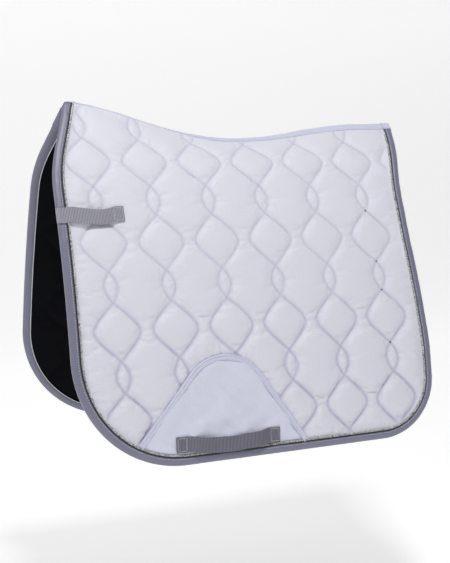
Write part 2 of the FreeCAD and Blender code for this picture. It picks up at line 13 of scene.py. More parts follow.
import bpy
import numpy as np
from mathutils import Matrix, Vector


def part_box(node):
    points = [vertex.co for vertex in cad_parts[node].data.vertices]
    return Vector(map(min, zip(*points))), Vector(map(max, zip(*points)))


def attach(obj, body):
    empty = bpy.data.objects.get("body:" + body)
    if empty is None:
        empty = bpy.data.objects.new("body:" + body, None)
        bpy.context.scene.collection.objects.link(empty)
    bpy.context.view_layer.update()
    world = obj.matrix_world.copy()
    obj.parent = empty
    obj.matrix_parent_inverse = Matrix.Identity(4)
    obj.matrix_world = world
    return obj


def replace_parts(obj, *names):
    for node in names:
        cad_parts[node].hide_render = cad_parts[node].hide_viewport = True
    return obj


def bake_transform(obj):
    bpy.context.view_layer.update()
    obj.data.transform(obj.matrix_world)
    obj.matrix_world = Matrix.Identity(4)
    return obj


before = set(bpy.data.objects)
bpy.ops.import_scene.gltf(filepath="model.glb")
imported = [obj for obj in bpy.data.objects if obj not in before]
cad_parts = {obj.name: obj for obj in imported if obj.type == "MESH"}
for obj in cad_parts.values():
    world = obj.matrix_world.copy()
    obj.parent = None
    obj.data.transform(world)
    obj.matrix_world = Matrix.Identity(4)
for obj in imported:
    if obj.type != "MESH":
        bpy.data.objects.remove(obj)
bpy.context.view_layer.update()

LOG = logging.getLogger("saddle_pad")
MM = 0.001
SEED = 41
WEBBING_WIDTH = 25.0


class Side(Enum):
    """The two sides of the horse: the sign turns a left-hand shape into this side's."""

    LEFT = 1.0
    RIGHT = -1.0

    @property
    def label(self) -> str:
        """Lower-case name used in piece and body names."""
        return self.name.lower()


# ---- small numeric helpers ---------------------------------------------------------------------------
def smoothstep(t: np.ndarray) -> np.ndarray:
    """Cubic step from 0 to 1: 3 t squared minus 2 t cubed, held flat outside 0 to 1."""
    t = np.clip(t, 0.0, 1.0)
    return t * t * (3.0 - 2.0 * t)


def value_noise(u: np.ndarray, v: np.ndarray, seed: int) -> np.ndarray:
    """Smooth noise from -1 to 1 on a unit grid, fixed by its seed.

    Each grid corner gets a number from a sine hash, and the four corners are mixed with smoothstep.

    Args:
        u: first coordinate, in grid steps.
        v: second coordinate, in grid steps.
        seed: picks another field.

    Returns:
        An array of the shape of u and v.
    """
    iu, iv = np.floor(u), np.floor(v)
    fu, fv = smoothstep(u - iu), smoothstep(v - iv)

    def corner(a: np.ndarray, b: np.ndarray) -> np.ndarray:
        """Hash of a grid corner, from -1 to 1."""
        h = np.sin(a * 127.1 + b * 311.7 + seed * 74.7) * 43758.5453
        return 2.0 * (h - np.floor(h)) - 1.0

    low = corner(iu, iv) * (1 - fu) + corner(iu + 1, iv) * fu
    high = corner(iu, iv + 1) * (1 - fu) + corner(iu + 1, iv + 1) * fu
    return low * (1 - fv) + high * fv


def unit(vectors: np.ndarray) -> np.ndarray:
    """The same vectors at length one."""
    return vectors / np.maximum(np.linalg.norm(vectors, axis=-1, keepdims=True), 1e-9)


def ring_angles(count: int) -> np.ndarray:
    """Angles of the points of a ring, evenly spread over a full turn."""
    return np.arange(count) / count * 2 * math.pi


def sewn_gap(x: np.ndarray, w: np.ndarray, span: tuple, middle: float) -> np.ndarray:
    """Distance from a strap's sewn end.

    Args:
        x: place along the pad.
        w: place down the section.
        span: lowest and highest x of the sewn end.
        middle: w of the strap's middle line; it covers half the webbing's width to each side.

    Returns:
        The distance, 0 under the sewn end.
    """
    return np.hypot(np.maximum(np.maximum(span[0] - x, x - span[1]), 0.0),
                    np.maximum(np.abs(w - middle) - WEBBING_WIDTH / 2, 0.0))


# ---- meshes ------------------------------------------------------------------------------------------
def mesh_piece(name: str, points: np.ndarray, faces: list, side: Side,
               uv: np.ndarray | None = None) -> bpy.types.Object:
    """Makes a smooth-shaded mesh object at the origin.

    Args:
        name: the piece's name.
        points: N by 3 array in millimetres, as on the left side.
        faces: list of integer arrays, each of M by 3 or M by 4 corners, turned outwards on the left.
        side: the side the piece is for; the right side is mirrored and its faces turned round.
        uv: optional N by 2 array of pattern coordinates, one for each point.

    Returns:
        The object.
    """
    co = points * MM * np.array([1.0, side.value, 1.0])
    mesh = bpy.data.meshes.new(name)
    loops = np.concatenate([(f if side is Side.LEFT else f[:, ::-1]).ravel() for f in faces])
    sizes = np.concatenate([np.full(len(f), f.shape[1]) for f in faces])
    mesh.vertices.add(len(co))
    mesh.vertices.foreach_set("co", co.ravel())
    mesh.loops.add(len(loops))
    mesh.loops.foreach_set("vertex_index", loops)
    mesh.polygons.add(len(sizes))
    mesh.polygons.foreach_set("loop_start", np.concatenate([[0], np.cumsum(sizes)[:-1]]))
    mesh.polygons.foreach_set("loop_total", sizes)
    mesh.polygons.foreach_set("use_smooth", np.ones(len(sizes), dtype=bool))
    if uv is not None:
        layer = mesh.uv_layers.new(name="cloth")
        layer.data.foreach_set("uv", uv[loops].ravel())
    mesh.update(calc_edges=True)
    mesh.validate()
    piece = bpy.data.objects.new(name, mesh)
    bpy.context.scene.collection.objects.link(piece)
    return piece


def grid_quads(rows: int, cols: int) -> np.ndarray:
    """Quads of a grid of points kept row after row, as M by 4: each goes down, across and back up."""
    i, j = np.meshgrid(np.arange(rows - 1), np.arange(cols - 1), indexing="ij")
    corner = i * cols + j
    return np.stack([corner, corner + cols, corner + cols + 1, corner + 1], -1).reshape(-1, 4)


def tube_faces(rings: int, around: int) -> list:
    """Faces of a tube of closed rings, ring after ring, with a fan of triangles at each end.

    Args:
        rings: number of rings.
        around: points in each ring; the middle points of the two ends follow the last ring.

    Returns:
        A list of face arrays.
    """
    i, j = np.meshgrid(np.arange(rings - 1), np.arange(around), indexing="ij")
    row, after = i * around, (j + 1) % around
    quads = np.stack([row + j, row + after, row + around + after, row + around + j], -1)
    k, last = np.arange(around), (rings - 1) * around
    start, end = np.full(around, rings * around), np.full(around, rings * around + 1)
    return [quads.reshape(-1, 4), np.stack([start, (k + 1) % around, k], -1),
            np.stack([end, last + k, last + (k + 1) % around], -1)]


def tube(rings: np.ndarray, turned: bool = False) -> tuple:
    """A closed tube through rings of points.

    Args:
        rings: N rings of M points, as N by M by 3.
        turned: whether its faces are turned over, for rings that run the other way round.

    Returns:
        The points and the face arrays.
    """
    faces = tube_faces(*rings.shape[:2])
    return capped(rings), [f[:, ::-1] for f in faces] if turned else faces


def tube_uv(along: np.ndarray, across: np.ndarray) -> np.ndarray:
    """Pattern coordinates in metres of a closed tube's points, from places along and round it."""
    return capped(np.stack([along, across, 0 * along], -1))[:, :2] * MM


def capped(rings: np.ndarray) -> np.ndarray:
    """The rings' points followed by the middle of the first and of the last ring, as an N by 3 array."""
    return np.concatenate([rings.reshape(-1, 3), [rings[0].mean(0)], [rings[-1].mean(0)]])


def thick_sheet(top: np.ndarray, bottom: np.ndarray, faces: list) -> tuple:
    """Closes a sheet into a thin solid: the top, the bottom turned over, and a wall along every rim edge.

    Args:
        top: points of the outer face.
        bottom: matching points of the inner face.
        faces: the outer face's face arrays, turned outwards.

    Returns:
        All the points, all the face arrays, and which of the given points (top, then bottom) are used.
    """
    count = len(top)
    edges = []
    for f in faces:
        edges.append(np.stack([f.ravel(), np.roll(f, -1, axis=1).ravel()], -1))
    edges = np.concatenate(edges)
    key = edges[:, 0] * count + edges[:, 1]
    twin = edges[:, 1] * count + edges[:, 0]
    rim = edges[~np.isin(key, twin)]
    wall = np.stack([rim[:, 1], rim[:, 0], rim[:, 0] + count, rim[:, 1] + count], -1)
    solid = list(faces) + [f[:, ::-1] + count for f in faces] + [wall]
    return drop_unused(np.concatenate([top, bottom]), solid)


def drop_unused(points: np.ndarray, faces: list) -> tuple:
    """Leaves out points that no face uses; returns the rest, renumbered faces and the mask kept."""
    used = np.zeros(len(points), dtype=bool)
    for f in faces:
        used[f.ravel()] = True
    number = np.cumsum(used) - 1
    return points[used], [number[f] for f in faces], used


def sheet_piece(name: str, top: np.ndarray, bottom: np.ndarray, faces: list, side: Side,
                pattern: np.ndarray) -> tuple:
    """Makes a thin closed sheet.

    Args:
        name: the piece's name.
        top: points of the outer face.
        bottom: matching points of the inner face.
        faces: the outer face's face arrays, turned outwards.
        side: the side the piece is for.
        pattern: N by 2 pattern coordinates of the outer face's points, in millimetres.

    Returns:
        The object, and which of the points (outer, then inner) it uses.
    """
    points, solid, used = thick_sheet(top, bottom, faces)
    both = np.concatenate([pattern, pattern]) * MM
    return mesh_piece(name, points, solid, side, both[used]), used


@dataclass(frozen=True)
class Stitch:
    """A kind of stitch: its length, the gap to the next one and half the thread's thickness."""

    length: float
    gap: float
    radius: float


def stitch_run(path: np.ndarray, normals: np.ndarray, stitch: Stitch) -> tuple:
    """Lock stitches laid along a path: each a short rounded rod of five sides.

    Args:
        path: N by 3 points along the seam, closely spaced.
        normals: the surface normal at each point.
        stitch: the kind of stitch.

    Returns:
        Points and face arrays, their numbering from 0.
    """
    along = np.concatenate([[0.0], np.cumsum(np.linalg.norm(np.diff(path, axis=0), axis=1))])
    length, radius, sides = stitch.length, stitch.radius, 5
    middle = np.arange(length / 2, along[-1] - length / 2, length + stitch.gap)
    if len(middle) == 0:
        return np.zeros((0, 3)), []

    def at(s: np.ndarray, values: np.ndarray) -> np.ndarray:
        """Values interpolated at distance s."""
        return np.stack([np.interp(s, along, values[:, k]) for k in range(3)], -1)

    centre, up = at(middle, path), unit(at(middle, normals))
    forward = unit(at(middle + length / 2, path) - at(middle - length / 2, path))
    across = unit(np.cross(forward, up))
    places = np.array([-1.0, -0.72, 0.72, 1.0]) * length / 2
    sizes = np.array([0.35, 1.0, 1.0, 0.35]) * radius
    sinks = np.array([-0.9, 0.0, 0.0, -0.9]) * radius
    angle = ring_angles(sides)
    ring = (centre[:, None, None] + forward[:, None, None] * places[None, :, None, None]
            + up[:, None, None] * (sinks[:, None] + sizes[:, None] * np.cos(angle))[None, ..., None]
            + across[:, None, None] * (sizes[:, None] * np.sin(angle))[None, ..., None])
    one = tube_faces(len(places), sides)[0]
    start = np.arange(len(middle)) * len(places) * sides
    quads = (one[None] + start[:, None, None]).reshape(-1, 4)
    k, last = np.arange(sides), (len(places) - 1) * sides
    caps = np.concatenate([k[::-1] + start[:, None], last + k + start[:, None]])
    return ring.reshape(-1, 3), [quads, caps]


def joined(parts: list) -> tuple:
    """Several (points, faces) put together as one, renumbered."""
    points, faces, first = [], [], 0
    for p, f in parts:
        if len(p) == 0:
            continue
        points.append(p)
        faces.extend([a + first for a in f])
        first += len(p)
    return np.concatenate(points), faces


def seam_piece(name: str, runs: list, stitch: Stitch, side: Side) -> bpy.types.Object:
    """Makes the stitches of several seams as one piece.

    Args:
        name: the piece's name.
        runs: for each seam, its points and the points 1 mm further out.
        stitch: the kind of stitch.
        side: the side the piece is for.

    Returns:
        The object.
    """
    return mesh_piece(name, *joined([stitch_run(low, high - low, stitch) for low, high in runs]), side)


# ---- the pad's surface -------------------------------------------------------------------------------
@dataclass
class Drape:
    """The curved surface that all the cloth lies on, for the left side.

    Below the fold line the section is one large arc.  Above it, at each x, the section is an arc that
    leaves the fold line in line with the flap and meets the middle plane at the spine's height.
    """

    half_width: float = 72.75
    fold_z: float = -50.0
    lean: float = math.radians(25.76)
    flap_radius: float = 1179.0
    seat_to_top: float = 12.0
    spine: tuple = (
        (-1.03, 60.0), (-0.85, 57.5), (-0.67, 45.0), (-0.50, 28.0), (-0.30, 10.0), (-0.06, 0.0),
        (0.20, 4.0), (0.48, 17.0), (0.73, 25.0), (0.94, 26.5), (1.16, 33.0),
    )
    front: float = field(init=False)
    rear: float = field(init=False)

    def __post_init__(self) -> None:
        """Reads the pad's reach to the front and to the rear from the frame."""
        low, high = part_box("left_flap_binding")
        self.front = -low[0] / MM
        self.rear = high[0] / MM

    def spine_height(self, x: np.ndarray) -> np.ndarray:
        """Height of the outer face on the spine line: a cubic through the profile's points.

        Each span is a Hermite cubic whose end slopes are the slopes between the neighbours.
        """
        xs = np.array([s * (self.front if s < 0 else self.rear) for s, _ in self.spine])
        zs = np.array([z for _, z in self.spine]) + self.seat_to_top
        slopes = np.gradient(zs, xs)
        k = np.clip(np.searchsorted(xs, x) - 1, 0, len(xs) - 2)
        span = xs[k + 1] - xs[k]
        t = (x - xs[k]) / span
        t2, t3 = t * t, t * t * t
        return ((2 * t3 - 3 * t2 + 1) * zs[k] + (t3 - 2 * t2 + t) * span * slopes[k]
                + (3 * t2 - 2 * t3) * zs[k + 1] + (t3 - t2) * span * slopes[k + 1])

    def arc(self, x: np.ndarray) -> tuple:
        """Radius and centre (y, z) of the spine's section arc at x."""
        rise = self.spine_height(x) - self.fold_z
        turn = np.arctan2(self.half_width, rise) - self.lean
        radius = np.hypot(self.half_width, rise) / (2 * np.sin(turn))
        return (radius, -self.half_width + radius * math.cos(self.lean),
                self.fold_z - radius * math.sin(self.lean))

    def spine_run(self, x: np.ndarray) -> np.ndarray:
        """Length of the section from the fold line up to the spine."""
        radius, cy, _ = self.arc(x)
        return radius * (np.arccos(np.clip(cy / radius, -1, 1)) - self.lean)

    def from_side(self, x: np.ndarray, z: np.ndarray) -> np.ndarray:
        """Distance w of the point of the outer face that the side view shows at (x, z)."""
        radius, _, cz = self.arc(x)
        flap_cz = self.fold_z - self.flap_radius * math.sin(self.lean)
        below = self.flap_radius * (self.lean - np.arcsin(np.clip((z - flap_cz) / self.flap_radius, -1, 1)))
        above = radius * (self.lean - np.arcsin(np.clip((z - cz) / radius, -1, 1)))
        return np.where(z < self.fold_z, below, np.maximum(above, -self.spine_run(x)))

    def side_height(self, x: np.ndarray, w: np.ndarray) -> np.ndarray:
        """Height z of the outer face at (x, w)."""
        return self.point(x, w, np.zeros_like(x))[..., 2]

    def point(self, x: np.ndarray, w: np.ndarray, proud: np.ndarray) -> np.ndarray:
        """Points of the left side, proud of the outer face, as an array of (x, y, z).

        Above the fold line the angle runs from the lean at the fold to the angle at which the arc of
        that height meets the middle plane, so the two sides always close on the spine.
        """
        radius, cy, cz = self.arc(x)
        reach = radius + proud
        top = np.arccos(np.clip(cy / reach, -1, 1))
        share = np.clip(-w / self.spine_run(x), 0.0, 1.0)
        angle_up = self.lean + share * (top - self.lean)
        angle_down = self.lean - w / self.flap_radius
        flap_cy = -self.half_width + self.flap_radius * math.cos(self.lean)
        flap_cz = self.fold_z - self.flap_radius * math.sin(self.lean)
        upper = w < 0
        angle = np.where(upper, angle_up, angle_down)
        reach = np.where(upper, reach, self.flap_radius + proud)
        y = np.where(upper, cy, flap_cy) - reach * np.cos(angle)
        z = np.where(upper, cz, flap_cz) + reach * np.sin(angle)
        return np.stack([x + 0 * y, y, z], -1)


class SideShape:
    """A shape of the side view (x, z) made of straight runs joined by arcs, its inside on the left."""

    def corners(self) -> list:
        """Corners (x, z, radius) of the polygon that the shape rounds off."""
        raise NotImplementedError

    def runs(self) -> list:
        """Straight runs ("line", start, end) and arcs ("arc", centre, radius, from, turn) in order."""
        corners = self.corners()
        found = []
        at = np.array(corners[0][:2])
        for i in range(1, len(corners) - 1):
            here = np.array(corners[i][:2])
            before = unit(here - np.array(corners[i - 1][:2]))
            after = unit(np.array(corners[i + 1][:2]) - here)
            turn = math.atan2(before[0] * after[1] - before[1] * after[0], float(before @ after))
            radius = corners[i][2]
            back = radius * math.tan(abs(turn) / 2)
            start = here - before * back
            sign = math.copysign(1.0, turn)
            inward = np.array([-before[1], before[0]]) * sign
            centre = start + inward * radius
            from_angle = math.atan2(*(start - centre)[::-1])
            found.append(("line", at, start))
            found.append(("arc", centre, radius, from_angle, turn))
            at = here + after * back
        found.append(("line", at, np.array(corners[-1][:2])))
        return found

    def sample(self, step: float) -> tuple:
        """Points and inward normals along the whole outline, about step apart.

        Returns:
            Points (N by 2), inward unit normals (N by 2).
        """
        points, normals = [], []
        for run in self.runs():
            if run[0] == "line":
                length = float(np.linalg.norm(run[2] - run[1]))
                t = np.arange(0.0, 1.0, 1.0 / max(2, round(length / step)))[:, None]
                along = unit(run[2] - run[1])
                points.append(run[1] + (run[2] - run[1]) * t)
                normals.append(np.tile([-along[1], along[0]], (len(t), 1)))
            else:
                _, centre, radius, start, turn = run
                t = np.arange(0.0, 1.0, 1.0 / max(4, round(radius * abs(turn) / step)))
                ray = np.stack([np.cos(start + turn * t), np.sin(start + turn * t)], -1)
                points.append(centre + radius * ray)
                normals.append(-ray * math.copysign(1.0, turn))
        return np.concatenate(points), np.concatenate(normals)

    def inset_of(self, x: np.ndarray, z: np.ndarray) -> np.ndarray:
        """How far inside the outline each point of the side view lies; negative outside."""
        best = np.full(x.shape, 1e9)
        inset = np.zeros(x.shape)
        for run in self.runs():
            if run[0] == "line":
                along = unit(run[2] - run[1])
                length = float(np.linalg.norm(run[2] - run[1]))
                dx, dz = x - run[1][0], z - run[1][1]
                t = np.clip(dx * along[0] + dz * along[1], 0.0, length)
                gap = np.hypot(dx - along[0] * t, dz - along[1] * t)
                inside = -dx * along[1] + dz * along[0]
            else:
                _, centre, radius, start, turn = run
                dx, dz = x - centre[0], z - centre[1]
                reach = np.hypot(dx, dz)
                sign = math.copysign(1.0, turn)
                swept = np.mod((np.arctan2(dz, dx) - start) * sign, 2 * math.pi)
                gap = np.where(swept <= abs(turn), np.abs(reach - radius), 1e9)
                inside = (radius - reach) * sign
            near = gap < best
            best = np.where(near, gap, best)
            inset = np.where(near, np.where(inside >= 0, gap, -gap), inset)
        return inset


@dataclass
class Outline(SideShape):
    """The pad's side view, open at the top, where the spine line closes it."""

    drape: Drape
    front_drop: float = 497.0
    rear_drop: float = 488.0
    waist: float = 275.5
    top: float = 130.0
    shoulder: float = 32.7
    loin: float = 63.0
    front_slant: float = math.radians(20.0)
    rear_slant: float = math.radians(13.6)

    def corners(self) -> list:
        """Corners from the top front, down, along the bottom and up the rear edge."""
        back, out = math.tan(self.front_slant), math.tan(self.rear_slant)
        front, rear = self.drape.front, self.drape.rear
        return [
            (-front + (self.top + self.shoulder) * back, self.top, 0.0),
            (-front, -self.shoulder, 205.0),
            (-front, -self.front_drop, 175.0),
            (rear, -self.rear_drop, 100.0),
            (rear, -338.0, 500.0),
            (self.waist, -153.0, 600.0),
            (self.waist, -self.loin, 300.0),
            (self.waist + (self.top + self.loin) * out, self.top, 0.0),
        ]


@dataclass
class PatchShape(SideShape):
    """The bell of the girth patch: two straight flanks and a round top, open at the bottom."""

    peak_x: float = -89.4
    peak_z: float = -279.5
    low: float = -650.0
    front_slope: float = math.radians(48.8)
    rear_slope: float = math.radians(55.5)
    peak_radius: float = 77.0

    def corners(self) -> list:
        """Corners from the bottom rear over the peak to the bottom front."""
        fall = self.peak_z - self.low
        return [
            (self.peak_x + fall / math.tan(self.rear_slope), self.low, 0.0),
            (self.peak_x, self.peak_z, self.peak_radius),
            (self.peak_x - fall / math.tan(self.front_slope), self.low, 0.0),
        ]


@dataclass
class Edge:
    """The pad's edge from the spine at the front, round the flap, to the spine at the rear.

    A piece that follows the edge is given by its inset from the edge and its height over the outer
    face.  The inset runs square to the edge on the flap and swings round to follow the spine line at
    both ends, so that the pieces of the two sides meet.
    """

    drape: Drape
    outline: Outline
    step: float = 2.5

    def __post_init__(self) -> None:
        """Cuts the outline where it meets the spine line and turns the inset directions there."""
        points, normals = self.outline.sample(self.step)
        height = self.drape.spine_height(points[:, 0])
        keep = points[:, 1] < height
        first, last = np.flatnonzero(keep)[[0, -1]]
        points, normals = points[first - 1:last + 2].copy(), normals[first - 1:last + 2]
        for end, inner in ((0, 1), (-1, -2)):
            a, b = points[end], points[inner]
            over_a = a[1] - self.drape.spine_height(a[:1])[0]
            over_b = b[1] - self.drape.spine_height(b[:1])[0]
            points[end] = b + (a - b) * (-over_b / (over_a - over_b))
        x, z = points[:, 0], points[:, 1]
        slope = (self.drape.spine_height(x + 1.0) - self.drape.spine_height(x - 1.0)) / 2.0
        along = np.stack([np.ones_like(x), slope], -1)
        along /= np.sum(along * normals, -1, keepdims=True)
        rise = (z - self.drape.fold_z) / (self.drape.spine_height(x) - self.drape.fold_z)
        share = smoothstep(rise)[:, None]
        near_spine = np.where(z[:, None] > self.drape.fold_z, share, 0.0)
        self.points = points
        self.inward = normals * (1 - near_spine) + along * near_spine
        gaps = np.linalg.norm(np.diff(points, axis=0), axis=1)
        self.length = np.concatenate([[0.0], np.cumsum(gaps)])

    def locate(self, s: np.ndarray, inset: np.ndarray) -> tuple:
        """Surface coordinates (x, w) at distance s along the edge and inset from it."""
        px = np.interp(s, self.length, self.points[:, 0])
        pz = np.interp(s, self.length, self.points[:, 1])
        ix = np.interp(s, self.length, self.inward[:, 0])
        iz = np.interp(s, self.length, self.inward[:, 1])
        x, z = px + ix * inset, pz + iz * inset
        w = self.drape.from_side(x, z)
        ends = (s <= 0) | (s >= self.length[-1])
        return x, np.where(ends, -self.drape.spine_run(x), w)

    def surface(self, s: np.ndarray, inset: np.ndarray, proud: np.ndarray) -> np.ndarray:
        """Points at distance s along the edge, inset from it and proud of the outer face."""
        x, w = self.locate(s, inset)
        return self.drape.point(x, w, proud)


@dataclass
class Quilting:
    """The stitched pattern: columns of two mirrored waves that cross, closing diamonds and small lenses.

    A column's waves swing 37 mm out round a diamond and 11 mm round a lens, and cross between them.
    """

    first_x: float = -278.2
    first_w: float = 37.5
    pitch: float = 95.0
    repeat: float = 139.75
    lean: float = 7.94
    rise: float = 0.55
    lens_half_height: float = 24.75
    lens_half_width: float = 11.0
    diamond_half_width: float = 37.0
    corner_softness: float = 0.33
    columns: tuple = tuple(range(-1, 7))

    def wave(self, t: np.ndarray) -> np.ndarray:
        """Half the distance between a column's two waves at t repeats below a lens; negative once crossed.

        Round a lens it is a cosine; round a diamond a hyperbola's corner, straight towards the crossings.
        """
        u = np.abs(t - np.round(t))
        tip = self.lens_half_height / self.repeat
        lens = self.lens_half_width * np.cos(0.5 * math.pi * np.minimum(u / tip, 1.0))
        v = np.clip((u - tip) / (0.5 - tip), 0.0, 1.0)
        soft = self.corner_softness
        corner = (np.sqrt((1 - v) ** 2 + soft * soft) - soft) / (math.sqrt(1 + soft * soft) - soft)
        return np.where(u < tip, lens, -self.diamond_half_width * (1 - corner))

    def line_x(self, column: int, sign: float, w: np.ndarray) -> np.ndarray:
        """Place x of one of a column's two stitch lines at w."""
        t = (w - self.first_w - self.rise * column) / self.repeat
        return self.first_x + self.pitch * column + self.lean * t + sign * self.wave(t)

    def gaps(self, x: np.ndarray, w: np.ndarray) -> list:
        """Distance from every stitch line, measured square to the line, as a list of arrays."""
        found = []
        for column in self.columns:
            for sign in (-1.0, 1.0):
                here = self.line_x(column, sign, w)
                slope = (self.line_x(column, sign, w + 0.5) - self.line_x(column, sign, w - 0.5))
                found.append(np.abs(x - here) / np.sqrt(1 + slope * slope))
        return found

    def loft(self, x: np.ndarray, w: np.ndarray, softness: float, reach: float) -> np.ndarray:
        """How far the filling lifts the cloth, from 0 on a stitch line to 1 far from all of them.

        Each line takes one minus a falling exponential of its distance, rounded off within softness of
        the line, and the product over all lines keeps narrow lenses lower than wide diamonds.
        """
        lift = np.ones_like(x)
        for gap in self.gaps(x, w):
            lift = lift * (1 - np.exp(-(np.sqrt(gap * gap + softness * softness) - softness) / reach))
        return lift


def lattice(drape: Drape, shapes: list, pitch: float, low_w: float, x_range: tuple) -> tuple:
    """A square lattice on the surface, trimmed to lie inside every (shape, inset) of a list.

    Columns stand at equal steps of x.  Rows lie at equal steps of w on the flap and at equal shares of
    the section above the fold.  Points close to a border are moved onto it.

    Args:
        drape: the surface.
        shapes: (SideShape, inset) pairs.
        pitch: distance between lines.
        low_w: smallest w; negative takes in the part above the fold up to the spine.
        x_range: lowest and highest x.

    Returns:
        Arrays x, w and inside distance for every point, and the face arrays.
    """
    xs = np.arange(x_range[0], x_range[1] + pitch, pitch)
    down = np.arange(max(low_w, 0.0), 475.0, pitch)
    above = int(round(120.0 / pitch)) if low_w < 0 else 0
    share = -np.arange(above, 0, -1) / max(above, 1)
    x = np.repeat(xs[None], above + len(down), 0)
    run = drape.spine_run(xs)
    w = np.concatenate([share[:, None] * run[None], np.repeat(down[:, None], len(xs), 1)])

    def inside(px: np.ndarray, pw: np.ndarray) -> np.ndarray:
        """Distance inside the nearest of the borders."""
        z = drape.side_height(px, pw)
        return np.min([shape.inset_of(px, z) - inset for shape, inset in shapes], axis=0)

    deep = inside(x, w)
    near = np.abs(deep) < 0.62 * pitch
    for _ in range(3):
        small = 0.2
        dx = (inside(x[near] + small, w[near]) - inside(x[near] - small, w[near])) / (2 * small)
        top = np.maximum(w[near] - small, -drape.spine_run(x[near]))
        dw = (inside(x[near], w[near] + small) - inside(x[near], top)) / (w[near] + small - top)
        steep = np.maximum(dx * dx + dw * dw, 0.25)
        gap = inside(x[near], w[near])
        fixed_row = w[near] <= -drape.spine_run(x[near]) + 1e-6
        x[near] -= gap * dx / np.where(fixed_row, np.maximum(dx * dx, 0.25), steep)
        w[near] = np.where(fixed_row, -drape.spine_run(x[near]), w[near] - gap * dw / steep)
    good = (deep > 0) | near
    rows, cols = x.shape
    quad = grid_quads(rows, cols)
    has = good.ravel()[quad]
    full = quad[has.all(1)]
    three = quad[has.sum(1) == 3]
    kept = has[has.sum(1) == 3]
    triangles = three[kept].reshape(-1, 3)
    return x.ravel(), w.ravel(), inside(x, w).ravel(), [full, triangles]


# ---- the spine tapes ---------------------------------------------------------------------------------
@dataclass
class SpineTape:
    """The tapes along the spine line, outside and inside, across both halves."""

    drape: Drape
    edge: Edge
    half_width: float = 18.0
    narrow: float = 2.5
    narrows_x: float = -25.0
    narrow_x: float = -150.0
    inner_half_width: float = 20.0
    binding: float = 12.8
    ridge_reach: float = 7.0
    ridge_soft: float = 3.0
    ridge_drop: float = 0.22
    ridge_side: float = 4.0
    lanes: int = 17
    stitch_inset: float = 3.2
    stitch: Stitch = Stitch(2.8, 0.9, 0.32)

    def surface(self, x: np.ndarray, across: np.ndarray, proud: np.ndarray) -> np.ndarray:
        """Points across the spine line; the ridge is rounded over ridge_reach to each side.

        Args:
            x: place along the pad.
            across: signed distance across the spine line, negative on the left.
            proud: height over the outer face.

        Returns:
            The points.
        """
        run, reach = self.drape.spine_run(x), self.ridge_reach
        away = np.sqrt(across * across + self.ridge_soft ** 2) - self.ridge_soft
        ridge = self.ridge_drop * np.maximum(0.0, reach - np.abs(across)) ** 2 / reach
        left = self.drape.point(x, -run + away, proud - ridge)
        y = np.where(across < 0, left[..., 1], -left[..., 1])
        beside = np.abs(self.drape.point(x, -run + self.ridge_side + 0 * across, proud)[..., 1])
        y = np.where(np.abs(across) < reach, across * beside / reach, y)
        return np.stack([left[..., 0], y, left[..., 2]], -1)

    def strip(self, name: str, x: np.ndarray, low: np.ndarray, high: np.ndarray, proud: np.ndarray,
              thickness: float) -> bpy.types.Object:
        """Makes a closed strip along the spine, a little wavy and tucked in at its two rims.

        Args:
            name: the piece's name.
            x: place of each cross line.
            low: left end of each cross line.
            high: right end of each cross line.
            proud: height of each cross line.
            thickness: the tape's thickness.

        Returns:
            The object.
        """
        share = np.linspace(0.0, 1.0, self.lanes)[None]
        across = low[:, None] + (high - low)[:, None] * share
        xx = np.repeat(x[:, None], self.lanes, 1)
        tuck = smoothstep((np.abs(share - 0.5) - 0.36) / 0.14)
        wave = value_noise(xx / 13.0, across / 11.0, SEED + 70) * 0.25 - 0.7 * tuck
        top = self.surface(xx, across, proud[:, None] + wave).reshape(-1, 3)
        bottom = self.surface(xx, across, proud[:, None] + wave - thickness).reshape(-1, 3)
        pattern = np.stack([xx, across], -1).reshape(-1, 2)
        return sheet_piece(name, top, bottom, [grid_quads(len(x), self.lanes)], Side.LEFT, pattern)[0]

    def reach(self, x: np.ndarray, side: Side) -> np.ndarray:
        """How far the outer tape comes down a side; on the left it slides away towards the withers."""
        share = smoothstep((x - self.narrow_x) / (self.narrows_x - self.narrow_x))
        share = share if side is Side.LEFT else np.ones_like(x)
        return self.narrow + (self.half_width - self.narrow) * share

    def build_outer(self) -> bpy.types.Object:
        """Makes the tape on the outside, from the front binding to the rear one."""
        x = np.arange(self.edge.points[0, 0] + self.binding, self.edge.points[-1, 0] - self.binding, 2.5)
        return self.strip("spine_tape", x, -self.reach(x, Side.LEFT), self.reach(x, Side.RIGHT),
                          np.full_like(x, 1.7), 1.2)

    def build_stitches(self) -> bpy.types.Object:
        """Makes the two lines of stitches along the outer tape, left out where it is too narrow."""
        x = np.arange(self.edge.points[0, 0] + self.binding, self.edge.points[-1, 0] - 2.0, 1.2)
        runs = []
        for across in (-(self.reach(x, Side.LEFT) - self.stitch_inset),
                       self.reach(x, Side.RIGHT) - self.stitch_inset):
            shown = np.abs(across) > 2.0
            runs.append([self.surface(x, across, np.full_like(x, up))[shown] for up in (1.75, 2.75)])
        return seam_piece("spine_tape_thread", runs, self.stitch, Side.LEFT)

    def build_end(self) -> bpy.types.Object:
        """Makes the tape's rear end, laid over the binding and turned down behind it."""
        end = self.edge.points[-1, 0]
        x = end + np.concatenate([np.linspace(-16.0, -6.5, 8), [-5.0, -3.8, -2.8, -2.0, -1.4]])
        proud = np.concatenate([np.full(8, 1.75), [1.4, 0.8, -0.1, -1.3, -2.8]])
        return self.strip("spine_tape_rear_end", x, np.full_like(x, -self.half_width),
                          np.full_like(x, self.half_width), proud, 0.9)

    def build_inner(self) -> bpy.types.Object:
        """Makes the tape on the inside, along the whole spine."""
        x = np.arange(self.edge.points[0, 0] + 1.5, self.edge.points[-1, 0] - 1.5, 4.0)
        return self.strip("spine_tape_inside", x, np.full_like(x, -self.inner_half_width),
                          np.full_like(x, self.inner_half_width), np.full_like(x, -10.4), 0.9)


